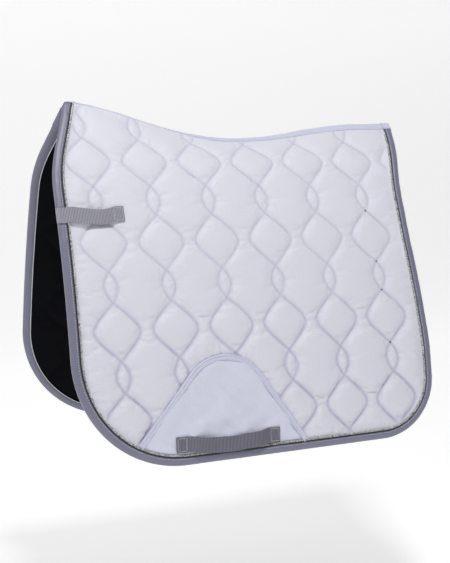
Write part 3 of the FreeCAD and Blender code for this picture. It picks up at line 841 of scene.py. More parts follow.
# ---- cloth pieces ------------------------------------------------------------------------------------
@dataclass
class Inflation:
    """The outer cloth laid out flat, held along its stitch lines and blown up by Blender's Cloth.

    The flat cloth is a regular grid in (x, w).  It is simulated ten times larger than life, with a
    little more cloth than the space it is sewn to, so that it puckers along the seams.
    """

    drape: Drape
    outline: Outline
    patch: PatchShape
    quilting: Quilting
    hem: float
    step: float = 4.0
    low: tuple = (-352.0, -128.0)
    count: tuple = (167, 152)
    scale: float = 10.0
    frames: int = 18
    pressure: float = 1.6
    extra: float = 0.045
    cap: float = 6.5
    moved: np.ndarray = field(init=False)

    def held(self, x: np.ndarray, w: np.ndarray) -> np.ndarray:
        """Which points are sewn down: on a stitch line, at the hem, the spine or under the patch."""
        spine_w = -self.drape.spine_run(x)
        z = self.drape.side_height(x, np.maximum(w, spine_w))
        seam = np.min(self.quilting.gaps(x, w), axis=0) < 0.56 * self.step
        return (seam | (self.outline.inset_of(x, z) < self.hem) | (self.patch.inset_of(x, z) > -1.0)
                | (w < spine_w + 3.0))

    def run(self) -> None:
        """Simulates the cloth and keeps where every grid point has moved, in millimetres."""
        size = self.step * MM * self.scale
        x, w = np.meshgrid(self.low[0] + np.arange(self.count[0]) * self.step,
                           self.low[1] + np.arange(self.count[1]) * self.step)
        across, down = self.count
        flat = np.stack(np.meshgrid(np.arange(across) * size, np.arange(down) * size), -1)
        flat = np.concatenate([flat, np.zeros((down, across, 1))], -1).reshape(-1, 3)
        quads = grid_quads(down, across)[:, [0, 3, 2, 1]]
        cloth = mesh_piece("flat_cloth", flat / MM, [quads], Side.LEFT)
        group = cloth.vertex_groups.new(name="sewn")
        group.add(np.flatnonzero(self.held(x, w).ravel()).tolist(), 1.0, "REPLACE")
        modifier = cloth.modifiers.new("cloth", "CLOTH")
        modifier.collision_settings.use_collision = False
        modifier.collision_settings.use_self_collision = False
        settings = modifier.settings
        settings.quality = 5
        settings.mass = 0.3
        settings.tension_stiffness = settings.compression_stiffness = 15.0
        settings.shear_stiffness = 5.0
        settings.bending_stiffness = 0.4
        settings.vertex_group_mass = group.name
        settings.use_pressure = True
        settings.uniform_pressure_force = self.pressure
        settings.shrink_min = -self.extra
        settings.effector_weights.gravity = 0.0
        for number in range(1, self.frames + 1):
            bpy.context.scene.frame_set(number)
        done = cloth.evaluated_get(bpy.context.evaluated_depsgraph_get()).to_mesh()
        found = np.zeros(len(flat) * 3)
        done.vertices.foreach_get("co", found)
        moved = (found.reshape(-1, 3) - flat) / MM / self.scale
        limit = np.maximum(np.abs(moved[:, 2]) / self.cap, 1e-9)
        moved[:, 2] = self.cap * np.tanh(limit) * np.sign(moved[:, 2])
        self.moved = moved.reshape(down, across, 3)
        bpy.data.objects.remove(cloth)
        bpy.context.scene.frame_set(1)
        LOG.info("cloth: highest pillow %.1f mm", self.moved[..., 2].max())

    def at(self, x: np.ndarray, w: np.ndarray) -> np.ndarray:
        """How far the cloth at (x, w) moved along x, along w and outwards, by cubic interpolation."""
        u = np.clip((x - self.low[0]) / self.step, 1.0, self.count[0] - 2.001)
        v = np.clip((w - self.low[1]) / self.step, 1.0, self.count[1] - 2.001)
        iu, iv = u.astype(int), v.astype(int)

        def weights(t: np.ndarray) -> list:
            """Catmull-Rom weights of the four neighbours at share t."""
            return [0.5 * (-t + 2 * t**2 - t**3), 0.5 * (2 - 5 * t**2 + 3 * t**3),
                    0.5 * (t + 4 * t**2 - 3 * t**3), 0.5 * (t**3 - t**2)]

        total = np.zeros(x.shape + (3,))
        for a, wu in enumerate(weights(u - iu)):
            for b, wv in enumerate(weights(v - iv)):
                total += (wu * wv)[..., None] * self.moved[np.clip(iv + b - 1, 0, self.count[1] - 1),
                                                           np.clip(iu + a - 1, 0, self.count[0] - 1)]
        return total


@dataclass
class QuiltedPanel:
    """The outer cloth and the lining of one side, each lifted by the wadding between stitch lines."""

    drape: Drape
    outline: Outline
    patch: PatchShape
    quilting: Quilting
    side: Side
    tape: SpineTape
    inflation: Inflation | None = None
    pitch: float = 2.0
    lining_pitch: float = 3.2
    border: float = 9.0
    hem: float = 18.0
    hem_height: float = -1.0
    valley: float = 4.9
    lift: float = 4.1
    crown: float = 3.0
    simulated: float = 0.75
    # width in millimetres of the painted shade along the quilting seams
    groove: float = 2.6
    thickness: float = 10.0
    cloth: float = 0.9
    sewn: tuple = ((-256.5, -235.5), 61.0)
    fullness: tuple = (0.82, 0.72, 120.0, 210.0)

    def puckers(self, x: np.ndarray, w: np.ndarray, deep: np.ndarray, lift: np.ndarray) -> np.ndarray:
        """Small creases: gathers square to the bound edge, and slack near the stitch lines."""
        seed = SEED if self.side is Side.LEFT else SEED + 7
        turn = np.arctan2(w - 180.0, x + 20.0) * 300.0
        gathers = value_noise(turn / 5.5, deep / 30.0, seed) * np.exp(-deep / 14.0) * 1.3
        slack = value_noise(x / 9.0, w / 7.0, seed + 1) * (1 - lift) * 0.30
        drift = value_noise(x / 70.0, w / 60.0, seed + 2) * 0.8
        fine = value_noise(x / 16.0, w / 24.0, seed + 3) * 0.22
        return gathers + slack + drift + fine

    def plump(self, w: np.ndarray) -> np.ndarray:
        """How full the pillows are: pressed flatter under the saddle, fuller low on the flap."""
        least, more, start, run = self.fullness
        return least + more * smoothstep((w - start) / run)

    def proud(self, x: np.ndarray, w: np.ndarray, inset: np.ndarray,
              blown: np.ndarray | None = None) -> np.ndarray:
        """Height of the outer cloth over the plain outer face, at an inset from the pad's edge.

        Pillows and creases fade into a level hem under the cord, and into a level strip under the
        spine tape; under the girth patch the cloth lies low.

        Args:
            x: place along the pad.
            w: place down the section.
            inset: distance from the pad's edge.
            blown: height of the simulated cloth over its seams, which takes part of the lift's place.

        Returns:
            The height in millimetres.
        """
        lift = self.quilting.loft(x, w, 0.7, 3.4)
        crown = self.quilting.loft(x, w, 2.0, 13.0)
        deep = np.maximum(inset - self.hem, 0.0)
        hem = 1 - np.exp(-deep / 5.0)
        ridge = np.maximum(w + self.drape.spine_run(x) - self.tape.reach(x, self.side), 0.0)
        seam = 1 - np.exp(-ridge / 7.0)
        pillow = self.lift * lift + self.crown * crown
        if blown is not None:
            pillow = (1 - self.simulated) * pillow + self.simulated * blown
        pillow = pillow * self.plump(w)
        height = -self.valley + pillow + self.puckers(x, w, deep, lift)
        under = self.patch.inset_of(x, self.drape.side_height(x, w))
        cover = smoothstep((under + 2.0) / 8.0)
        height = height * (1 - cover) - self.valley * cover
        height = self.hem_height * (1 - hem) + height * hem
        return self.pressed(x, w, -0.1 * (1 - seam) + height * seam)

    def pressed(self, x: np.ndarray, w: np.ndarray, height: np.ndarray) -> np.ndarray:
        """The height, held down where the front loop is sewn on, with a soft rim round the loop's end."""
        out = sewn_gap(x, w, *self.sewn)
        return np.minimum(height, -0.4 + 3.0 * smoothstep(out / 9.0) + 0.25 * out)

    def build_outer(self) -> bpy.types.Object:
        """Makes the outer cloth of the side as a thin closed sheet."""
        x, w, deep, faces = lattice(self.drape, [(self.outline, self.border)], self.pitch, -1.0,
                                    (-self.drape.front, self.drape.rear + 20.0))
        blown = None
        if self.inflation is not None:
            moved = self.inflation.at(x, w)
            blown = moved[:, 2]
            x, w = x + moved[:, 0], np.maximum(w + moved[:, 1], -self.drape.spine_run(x))
        proud = self.proud(x, w, deep + self.border, blown)
        top = self.drape.point(x, w, proud)
        bottom = self.drape.point(x, w, proud - self.cloth)
        piece, used = sheet_piece(f"{self.side.label}_outer_quilt", top, bottom, faces, self.side,
                                  np.stack([x, w], -1))
        # painted shade along the quilting seams: a weight per point, 1 on a seam and falling off over a few
        # millimetres, left out in the hem and stronger low on the flap with the fuller pillows; the satin's
        # colour darkens by it
        near = np.min(self.quilting.gaps(x, w), axis=0)
        groove = np.exp(-(near / self.groove) ** 2) * smoothstep((deep + self.border - self.hem) / 4.0)
        groove = groove * self.plump(w) / sum(self.fullness[:2])
        strength = piece.data.attributes.new("groove", "FLOAT", "POINT")
        strength.data.foreach_set("value", np.concatenate([groove, groove])[used])
        return piece

    def build_lining(self) -> bpy.types.Object:
        """Makes the lining of the side, quilted by the same stitch lines, facing the horse."""
        x, w, deep, faces = lattice(self.drape, [(self.outline, self.border)], self.lining_pitch, -1.0,
                                    (-self.drape.front, self.drape.rear + 20.0))
        lift = self.quilting.loft(x, w, 1.6, 7.0)
        hem = 1 - np.exp(-np.maximum(deep, 0.0) / 8.0)
        slack = value_noise(x / 14.0, w / 10.0, SEED + 20) * 0.35
        proud = 0.3 - self.thickness + 2.6 * (1 - lift * hem) + slack * hem
        inner = self.drape.point(x, w, proud)
        outer = self.drape.point(x, w, proud + self.cloth)
        turned = [f[:, ::-1] for f in faces]
        return sheet_piece(f"{self.side.label}_lining_quilt", inner, outer, turned, self.side,
                           np.stack([x, w], -1))[0]


@dataclass
class QuiltingThread:
    """The thread of the quilting on one side's outer face."""

    panel: QuiltedPanel
    stitch: Stitch = Stitch(3.0, 0.9, 0.32)
    lie: float = 0.15

    def build(self) -> bpy.types.Object:
        """Makes every visible stitch of the side in one piece."""
        panel, drape = self.panel, self.panel.drape
        runs = []
        for column in panel.quilting.columns:
            for sign in (-1.0, 1.0):
                w = np.arange(-140.0, 470.0, 1.2)
                x = panel.quilting.line_x(column, sign, w)
                x = np.clip(x, -drape.front + 4, drape.rear + 18)
                w = np.maximum(w, -drape.spine_run(x))
                z = drape.side_height(x, w)
                deep = panel.outline.inset_of(x, z)
                free = (deep > 19.0) & (panel.patch.inset_of(x, z) < -3.0)
                free &= w > panel.tape.reach(x, panel.side) - drape.spine_run(x) + 1.0
                proud = panel.proud(x, w, deep)
                low, high = (drape.point(x, w, proud + up) for up in (self.lie, self.lie + 1.0))
                cuts = np.flatnonzero(np.diff(np.concatenate([[0], free.astype(int), [0]])))
                runs += [(low[a:b], high[a:b]) for a, b in cuts.reshape(-1, 2) if b - a > 6]
        return seam_piece(f"{panel.side.label}_quilting_thread", runs, self.stitch, panel.side)


@dataclass
class EdgeTrim:
    """Binding, flange strip and piping, which follow the bound edge of one side."""

    edge: Edge
    side: Side
    binding_width: float = 12.8
    thickness: float = 9.6
    piping_inset: float = 16.5
    piping_radius: float = 1.05
    piping_lay: float = 7.0
    flange_middle: tuple = (13.9, -0.5)
    flange_reach: tuple = (1.4, 1.1)
    thread_middle: tuple = (12.6, -10.3)
    thread_reach: tuple = (0.75, 0.6)
    stitch_inset: float = 10.6
    stitch: Stitch = Stitch(3.2, 1.0, 0.34)

    def build_binding(self, name: str = "binding", span: tuple | None = None,
                      grow: float = 0.0) -> bpy.types.Object:
        """Makes the folded tape over the edge as a closed channel.

        Its section is a flattened half ellipse outside and the same, 1.1 mm in, inside; light
        cross-creases come from noise along the edge.

        Args:
            name: the piece's name after the side.
            span: first and last distance along the edge; the whole edge if left out.
            grow: how much larger than the plain binding, for a lap over it.

        Returns:
            The object.
        """
        first, last = span or (0.0, self.edge.length[-1])
        s = np.linspace(first, last, max(4, int((last - first) / 2.4)))
        t = np.linspace(-0.5, 0.5, 19) * math.pi
        inset = self.binding_width * (1 - np.abs(np.cos(t)) ** 0.62) - grow
        rise = (self.thickness / 2 + 0.5 + grow) * np.sign(np.sin(t)) * np.abs(np.sin(t)) ** 0.62
        inner_inset = 1.1 + (self.binding_width - 1.3) * (1 - np.abs(np.cos(t)) ** 0.62)
        inner_rise = rise * 0.80
        ring_inset = np.concatenate([inset, inner_inset[::-1]])
        ring_rise = np.concatenate([rise, inner_rise[::-1]])
        outer = np.concatenate([np.ones(19), np.zeros(19)])
        ss, dd = np.meshgrid(s, ring_inset, indexing="ij")
        rr = np.repeat(ring_rise[None], len(s), 0)
        noise = value_noise(ss / 5.5, dd / 9.0, SEED + 30 + int(self.side.value)) * 0.28
        noise = noise + value_noise(ss / 17.0, dd / 14.0, SEED + 33) * 0.3
        crease = noise * outer[None] * np.sign(rr) * smoothstep(np.abs(rr) / 3.0)
        rings = self.edge.surface(ss, dd, -5.0 + rr + crease)
        return mesh_piece(f"{self.side.label}_{name}", *tube(rings, turned=True), self.side,
                          tube_uv(ss, dd + rr))

    def band(self, name: str, s: np.ndarray, around: int, middle: tuple, reach: tuple) -> bpy.types.Object:
        """Makes a rounded band along the edge.

        Args:
            name: the piece's name after the side.
            s: distances along the edge.
            around: number of points round its section.
            middle: inset and height of the section's middle.
            reach: half the section's width and half its height.

        Returns:
            The object.
        """
        angle = ring_angles(around)
        ss, dd = np.meshgrid(s, middle[0] + reach[0] * np.cos(angle), indexing="ij")
        rise = np.repeat((middle[1] + reach[1] * np.sin(angle))[None], len(s), 0)
        return mesh_piece(f"{self.side.label}_{name}", *tube(self.edge.surface(ss, dd, rise)), self.side)

    def build_flange(self) -> bpy.types.Object:
        """Makes the narrow dark strip between binding and piping, a low rounded band."""
        s = np.linspace(0.0, self.edge.length[-1], int(self.edge.length[-1] / 4.0))
        return self.band("flange_strip", s, 10, self.flange_middle, self.flange_reach)

    def build_piping(self) -> bpy.types.Object:
        """Makes the two-strand twisted cord that is sewn along the binding.

        Each strand's centre turns about the cord's line once in a lay, half a turn from the other.
        """
        total = self.edge.length[-1]
        s = np.linspace(1.0, total - 1.0, int(total / self.piping_lay * 9))
        inset = np.full_like(s, self.piping_inset)
        low = self.edge.surface(s, inset, np.full_like(s, 0.7))
        high = self.edge.surface(s, inset, np.full_like(s, 1.7))
        up = unit(high - low)
        forward = unit(np.gradient(low, axis=0))
        across = unit(np.cross(forward, up))
        angle = ring_angles(7)
        parts = []
        for strand in (0.0, math.pi):
            phase = 2 * math.pi * s / self.piping_lay + strand
            offset = up * np.cos(phase)[:, None] + across * np.sin(phase)[:, None]
            centre = low + offset * self.piping_radius * 0.86
            ring = (centre[:, None] + self.piping_radius * (
                up[:, None] * np.cos(angle)[None, :, None] + across[:, None] * np.sin(angle)[None, :, None]))
            parts.append(tube(ring))
        return mesh_piece(f"{self.side.label}_piping_cord", *joined(parts), self.side)

    def build_inner_line(self) -> bpy.types.Object:
        """Makes the thin bright thread that shows along the binding on the lining side."""
        s = np.arange(1.0, self.edge.length[-1] - 1.0, 3.0)
        return self.band("lining_thread", s, 6, self.thread_middle, self.thread_reach)

    def build_stitches(self) -> bpy.types.Object:
        """Makes the bright line of stitches at the binding's inner edge."""
        s = np.arange(4.0, self.edge.length[-1] - 4.0, 1.5)
        inset = np.full_like(s, self.stitch_inset)
        run = [self.edge.surface(s, inset, np.full_like(s, up)) for up in (0.35, 1.35)]
        return seam_piece(f"{self.side.label}_binding_thread", [run], self.stitch, self.side)


@dataclass
class GirthPatch:
    """The smooth bell-shaped patch under the girth, and the tape sewn round its curved edge."""

    drape: Drape
    outline: Outline
    patch: PatchShape
    side: Side
    pitch: float = 2.6
    bottom_inset: float = 17.0
    cloth: float = 0.8
    sewn: tuple = (((-184.5, -165.5), 428.1), ((-26.0, -7.0), 428.1))
    tape_section: tuple = (
        (-1.2, -2.6), (-1.1, 0.4), (-0.3, 1.5), (0.9, 1.9), (2.1, 1.4), (2.9, 0.4), (3.8, 0.75), (6.0, 1.25),
        (8.0, 0.9), (8.0, -0.6), (2.0, -2.6),
    )
    tape_climb: float = 0.8
    seams: tuple = ((3.0, 0.85), (6.9, 2.1))
    stitch: Stitch = Stitch(2.6, 0.9, 0.3)

    def proud(self, x: np.ndarray, w: np.ndarray) -> np.ndarray:
        """Height of the patch: low at its rim, puffed inside, with soft upright folds."""
        inset = self.patch.inset_of(x, self.drape.side_height(x, w))
        low_edge = self.outline.inset_of(x, self.drape.side_height(x, w)) - self.bottom_inset
        puff = (1 - np.exp(-np.maximum(inset, 0) / 13.0)) * (1 - np.exp(-np.maximum(low_edge, 0) / 9.0))
        folds = value_noise(x / 30.0 + w / 45.0, w / 24.0, SEED + 50) * 4.6
        small = value_noise(x / 14.0 - w / 20.0, w / 15.0, SEED + 51) * 1.4
        height = -1.1 + puff * (4.2 + folds + small)
        for end, middle in self.sewn:
            out = sewn_gap(x, w, end, middle)
            height = np.minimum(height, 0.9 + 2.2 * smoothstep(out / 10.0) + 0.2 * out)
        return height

    def build_patch(self) -> bpy.types.Object:
        """Makes the patch's cloth as a thin closed sheet."""
        shapes = [(self.patch, 1.0), (self.outline, self.bottom_inset)]
        x, w, _, faces = lattice(self.drape, shapes, self.pitch, 200.0, (-300.0, 80.0))
        proud = self.proud(x, w)
        top, bottom = self.drape.point(x, w, proud), self.drape.point(x, w, proud - self.cloth)
        return sheet_piece(f"{self.side.label}_girth_patch", top, bottom, faces, self.side,
                           np.stack([x, w], -1))[0]

    def rim(self, step: float, above: float) -> tuple:
        """The patch's curved edge, cut off a little above its bottom, as points and inward normals."""
        path, inward = self.patch.sample(step)
        keep = self.outline.inset_of(path[:, 0], path[:, 1]) > self.bottom_inset + above
        return path[keep], inward[keep]

    def build_tape(self) -> bpy.types.Object:
        """Makes the folded tape: a round corded rim outside and a flat stitched leg inside it."""
        step = 2.0
        path, inward = self.rim(step, 1.0)
        inset, proud = np.array(self.tape_section).T
        x = path[:, 0][:, None] + inward[:, 0][:, None] * inset[None]
        z = path[:, 1][:, None] + inward[:, 1][:, None] * inset[None]
        w = self.drape.from_side(x, z)
        lift = np.interp(inset, [0.0, np.max(inset)], [0.0, self.tape_climb])
        rings = self.drape.point(x, w, np.repeat((proud + lift)[None], len(path), 0))
        uv = tube_uv(*np.meshgrid(np.arange(len(path)) * step, inset, indexing="ij"))
        return mesh_piece(f"{self.side.label}_patch_tape", *tube(rings, turned=True), self.side, uv)

    def build_stitches(self) -> bpy.types.Object:
        """Makes the two lines of stitches along the patch's tape."""
        path, inward = self.rim(1.2, 3.0)
        runs = []
        for inset, proud in self.seams:
            x, z = (path + inward * inset).T
            w = self.drape.from_side(x, z)
            runs.append([self.drape.point(x, w, np.full_like(x, up)) for up in (proud, proud + 1.0)])
        return seam_piece(f"{self.side.label}_patch_thread", runs, self.stitch, self.side)


@dataclass
class Webbing:
    """A ribbed webbing loop sewn to one flap; its route gives (x, proud) from end to end."""

    drape: Drape
    side: Side
    name: str
    route: tuple
    middle_w: float
    width: float = WEBBING_WIDTH
    thickness: float = 2.0
    rib: float = 2.4
    step: float = 0.34
    waviness: float = 0.8
    sag: float = 0.0
    sag_late: float = 1.0
    around: int = 28
    rib_depth: float = 0.24
    selvedge: float = 1.0
    sewn_length: float = 14.0
    stitch: Stitch = Stitch(2.3, 0.8, 0.38)

    def line(self) -> tuple:
        """Distances along the loop, its middle line (x, proud) and the line's normals.

        The straight runs are sampled evenly and then smoothed by a moving average 8 mm wide.
        """
        knots = np.array(self.route, dtype=float)
        gaps = np.concatenate([[0.0], np.cumsum(np.linalg.norm(np.diff(knots, axis=0), axis=1))])
        s = np.arange(0.0, gaps[-1], self.step)
        line = np.stack([np.interp(s, gaps, knots[:, 0]), np.interp(s, gaps, knots[:, 1])], -1)
        reach = int(4.0 / self.step)
        padded = np.concatenate([
            line[0] + (line[1] - line[0]) * np.arange(-reach, 0)[:, None], line,
            line[-1] + (line[-1] - line[-2]) * np.arange(1, reach + 1)[:, None]])
        kernel = np.ones(2 * reach + 1) / (2 * reach + 1)
        line = np.stack([np.convolve(padded[:, k], kernel, mode="valid") for k in range(2)], -1)
        along = unit(np.gradient(line, axis=0))
        return s, line, np.stack([-along[:, 1], along[:, 0]], -1)

    def build(self) -> bpy.types.Object:
        """Makes the loop: a flat rounded section with raised ribs across it and smooth selvedges."""
        s, line, normals = self.line()
        angle = ring_angles(self.around)
        across = np.sign(np.cos(angle)) * np.abs(np.cos(angle)) ** 0.35 * self.width / 2
        lift = np.sign(np.sin(angle)) * np.abs(np.sin(angle)) ** 0.5 * self.thickness / 2
        ribbed = np.abs(across) < self.width / 2 - self.selvedge
        ribs = 1 + self.rib_depth * np.sin(2 * math.pi * s / self.rib)[:, None] * ribbed[None]
        side = value_noise(s / 13.0, 0 * s, SEED + 60)[:, None] * self.waviness
        flat = lift[None] * ribs
        x = line[:, 0][:, None] + normals[:, 0][:, None] * flat
        proud = line[:, 1][:, None] + normals[:, 1][:, None] * flat
        share = np.clip((s - self.sewn_length) / (s[-1] - 2 * self.sewn_length), 0.0, 1.0)
        hang = self.sag * np.sin(math.pi * share ** self.sag_late) ** 1.3
        rings = self.drape.point(x, self.middle_w + hang[:, None] + across[None] + side, proud)
        uv = tube_uv(*np.meshgrid(s, across, indexing="ij"))
        return mesh_piece(f"{self.side.label}_{self.name}", *tube(rings, turned=True), self.side, uv)

    def build_stitching(self, boxes: tuple) -> bpy.types.Object:
        """Makes the thread of the box stitches.

        Args:
            boxes: the two x places of each box, on a flat end of the loop.

        Returns:
            The object.
        """
        half = self.width / 2 - 2.6
        runs = []
        for x0, x1 in boxes:
            corners = ((x0, -half), (x1, -half), (x1, half), (x0, half))
            flat = self.route[0][1] if abs(self.route[0][0] - x0) < 40 else self.route[-1][1]
            flat = max(flat, 0.0) + self.thickness / 2 * 1.2
            for (ax, av), (bx, bv) in zip(corners, corners[1:] + corners[:1]):
                t = np.linspace(0.0, 1.0, 40)
                x = ax + (bx - ax) * t
                w = self.middle_w + av + (bv - av) * t
                runs.append([self.drape.point(x, w, np.full_like(x, up)) for up in (flat, flat + 1.0)])
        return seam_piece(f"{self.side.label}_{self.name}_stitching", runs, self.stitch, self.side)


def knots_mesh(centres: np.ndarray, normals: np.ndarray, radius: float) -> tuple:
    """Small round knots, each a slightly flattened and lumpy ball.

    Args:
        centres: middle of each knot.
        normals: the cloth's normal under each knot.
        radius: radius of a knot.

    Returns:
        Points and face arrays.
    """
    up = np.linspace(-0.5, 0.5, 7)[:, None] * math.pi
    turn = ring_angles(9)[None]
    side = unit(np.cross(normals, np.array([1.0, 0.0, 0.0])))
    forward = np.cross(side, normals)
    lumps = 1 + 0.12 * np.sin(3 * turn + 5 * up)
    ring = (forward[:, None, None] * (np.cos(up) * np.cos(turn) * lumps)[None, ..., None]
            + side[:, None, None] * (np.cos(up) * np.sin(turn) * lumps)[None, ..., None]
            + normals[:, None, None] * (0.7 * np.sin(up) + 0 * turn)[None, ..., None])
    return joined([tube(one * radius + centre) for one, centre in zip(ring, centres)])


# ---- finishes ----------------------------------------------------------------------------------------
def linear(hex_colour: str) -> tuple:
    """An sRGB hex colour as linear RGBA."""
    values = [int(hex_colour[i:i + 2], 16) / 255 for i in (1, 3, 5)]
    return tuple(v / 12.92 if v <= 0.04045 else ((v + 0.055) / 1.055) ** 2.4 for v in values) + (1.0,)


class Weave(Enum):
    """How a cloth's yarns lie, as the pattern that its colour and bump follow."""

    SATIN = "satin"
    TWILL = "twill"
    RIBBED = "ribbed"
    PLAIN = "plain"
    FOIL = "foil"

    @property
    def turn(self) -> float:
        """Angle of the yarns to the pattern's first coordinate."""
        return {Weave.SATIN: 0.35, Weave.TWILL: 0.785}.get(self, 0.0)


@dataclass(frozen=True)
class Finish:
    """One real material of the pad, and how its surface answers light."""

    name: str
    slot: str
    colour: str
    dark: str
    weave: Weave
    pitch_mm: float
    roughness: float
    sheen: float = 0.0
    metallic: float = 0.0
    bump_mm: float = 0.1
    gloss: float = 0.5
    # colour of the painted shade along the quilting seams; empty for none
    seam: str = ""

    def node(self, tree: bpy.types.NodeTree, kind: str, links: dict | None = None,
             **values: object) -> bpy.types.Node:
        """Adds a node.

        Args:
            tree: the material's node tree.
            kind: the node's type name.
            links: output sockets to link in, by the name of the input.
            **values: properties or input values by name, with _ for a space.

        Returns:
            The node.
        """
        made = tree.nodes.new(kind)
        for key, value in values.items():
            if hasattr(made, key):
                setattr(made, key, value)
            else:
                made.inputs[key.replace("_", " ")].default_value = value
        for socket, source in (links or {}).items():
            tree.links.new(source, made.inputs[socket])
        return made

    def pattern(self, tree: bpy.types.NodeTree) -> tuple:
        """Adds the nodes of the finish's pattern.

        Args:
            tree: the material's node tree.

        Returns:
            The sockets of shade and height, both 0 to 1, in the cloth's own UV metres or, for foil, in
            object space.
        """
        step = self.pitch_mm * MM
        if self.weave is Weave.FOIL:
            place = self.node(tree, "ShaderNodeTexCoord").outputs["Object"]
            cells = self.node(tree, "ShaderNodeTexVoronoi", {"Vector": place}, Scale=1 / step)
            return cells.outputs["Color"], cells.outputs["Distance"]
        place = self.node(tree, "ShaderNodeUVMap", uv_map="cloth").outputs["UV"]
        turned = self.node(tree, "ShaderNodeMapping", {"Vector": place})
        turned.inputs["Rotation"].default_value = (0.0, 0.0, self.weave.turn)
        yarn = self.node(tree, "ShaderNodeTexWave", {"Vector": turned.outputs["Vector"]},
                         Scale=0.314 / step, Distortion=0.8, Detail=1.0)
        if self.weave is Weave.RIBBED:
            return yarn.outputs["Fac"], yarn.outputs["Fac"]
        cloud = self.node(tree, "ShaderNodeTexNoise", {"Vector": turned.outputs["Vector"]},
                          Scale=0.5 / step, Detail=2.0)
        return cloud.outputs["Fac"], yarn.outputs["Fac"]

    def material(self) -> bpy.types.Material:
        """Builds the material: the two colours mixed by the shade, and a bump from the height.

        A finish with a seam colour mixes that in by the piece's own groove attribute.
        """
        made = bpy.data.materials.new(self.name)
        made.use_nodes = True
        tree = made.node_tree
        tree.nodes.clear()
        shade, height = self.pattern(tree)
        mix = self.node(tree, "ShaderNodeMix", data_type="RGBA")
        mix.inputs[6].default_value = linear(self.dark)
        mix.inputs[7].default_value = linear(self.colour)
        tree.links.new(shade, mix.inputs[0])
        # painted shade: the colour darkens towards the seam colour along the quilting seams, by the piece's
        # attribute
        if self.seam:
            yarns = mix
            groove = self.node(tree, "ShaderNodeAttribute", attribute_name="groove")
            mix = self.node(tree, "ShaderNodeMix", data_type="RGBA")
            mix.inputs[7].default_value = linear(self.seam)
            tree.links.new(yarns.outputs[2], mix.inputs[6])
            tree.links.new(groove.outputs["Fac"], mix.inputs[0])
        bump = self.node(tree, "ShaderNodeBump", {"Height": height}, Strength=1.0,
                         Distance=self.bump_mm * MM)
        cloth = self.node(tree, "ShaderNodeBsdfPrincipled",
                          {"Base Color": mix.outputs[2], "Normal": bump.outputs["Normal"]},
                          Roughness=self.roughness, Metallic=self.metallic, Sheen_Weight=self.sheen,
                          Sheen_Roughness=0.4, Specular_IOR_Level=self.gloss)
        self.node(tree, "ShaderNodeOutputMaterial", {"Surface": cloth.outputs["BSDF"]})
        return made


FINISHES = {finish.name: finish for finish in (
    # white polyester satin: soft lavender white with a broad, cloudy shine on the pillows; along the
    # seams its colour is painted shade, a darker lavender that stands for the shade of the seams' hollows
    Finish("white_satin", "white_satin", "#EFEFF7", "#E4E4F1", Weave.SATIN, 1.4, 0.58, 0.20,
           bump_mm=0.02, seam="#CDCDE1"),
    # navy lining cloth: nearly black, with a dull bluish sheen
    Finish("navy_lining", "navy_lining", "#05060F", "#020308", Weave.PLAIN, 1.4, 0.75, 0.0,
           bump_mm=0.05, gloss=0.12),
    # grey satin binding: ribbed ribbon with a clear sheen along the fold, its ribs twice the real ones
    Finish("grey_binding", "grey_binding", "#8C8CA1", "#76768B", Weave.RIBBED, 1.3, 0.38, 0.20,
           bump_mm=0.05),
    # flange strip between binding and cord: a real narrow strip, coloured near black as painted shade of the
    # gap between them
    Finish("charcoal_flange", "charcoal_flange", "#34343F", "#24242E", Weave.FOIL, 1.0, 0.70, 0.1),
    # metallised cord: bright and dark specks of foil yarn, its flakes about three times the real ones
    Finish("silver_piping", "silver_piping", "#FFFFFF", "#4A4A54", Weave.FOIL, 1.8, 0.35, 0.0, 0.3,
           bump_mm=0.2),
    # white twill tape along the spine and round the patch
    Finish("white_tape", "white_tape", "#E0E2F3", "#D0D2E9", Weave.TWILL, 1.2, 0.70, 0.15, bump_mm=0.05),
    # navy tape inside the spine
    Finish("navy_tape", "navy_tape", "#20223A", "#14162A", Weave.TWILL, 1.2, 0.70, 0.2, bump_mm=0.05),
    # the patch: smoother white cloth with a low shine
    Finish("white_patch_cloth", "white_patch_cloth", "#E8EAF9", "#DFE1F3", Weave.SATIN, 1.6, 0.42, 0.15,
           bump_mm=0.015),
    # grey webbing: coarse dull yarn, ribbed across at about twice the real pitch so that the ribs show
    Finish("front_webbing", "grey_webbing", "#BAB9C5", "#7A7986", Weave.RIBBED, 2.4, 0.75, 0.10,
           bump_mm=0.15),
    # the same webbing under the girth, coloured darker as painted shade, since it faces a little downward
    Finish("girth_webbing", "grey_webbing", "#94939F", "#585764", Weave.RIBBED, 2.4, 0.80, 0.05,
           bump_mm=0.15),
    # white sewing thread, a little brighter than the satin
    Finish("light_thread", "light_thread", "#F6F6FC", "#E4E4EE", Weave.FOIL, 0.7, 0.5, 0.1),
    # the quilting thread: white thread, coloured a darker lavender as painted shade of the hollow it lies in
    Finish("quilting_thread", "light_thread", "#D6D6E8", "#C8C8DC", Weave.FOIL, 0.7, 0.5, 0.1),
    # the webbing's thread, grey
    Finish("webbing_thread", "light_thread", "#F4F4F8", "#D2D2DA", Weave.FOIL, 0.7, 0.5, 0.1),
    # dark sewing thread of the knots
    Finish("dark_thread", "dark_thread", "#2A2A33", "#1C1C24", Weave.FOIL, 0.7, 0.6, 0.1),
)}


@dataclass
class Wardrobe:
    """Makes each finish's material once and puts it on pieces."""

    made: dict = field(default_factory=dict)

    def dress(self, piece: bpy.types.Object, finish: str) -> bpy.types.Object:
        """Gives a piece a finish and names the record's slot for it.

        Args:
            piece: the piece.
            finish: the finish's name in FINISHES.

        Returns:
            The same piece.
        """
        if finish not in self.made:
            self.made[finish] = FINISHES[finish].material()
        piece.data.materials.clear()
        piece.data.materials.append(self.made[finish])
        return piece


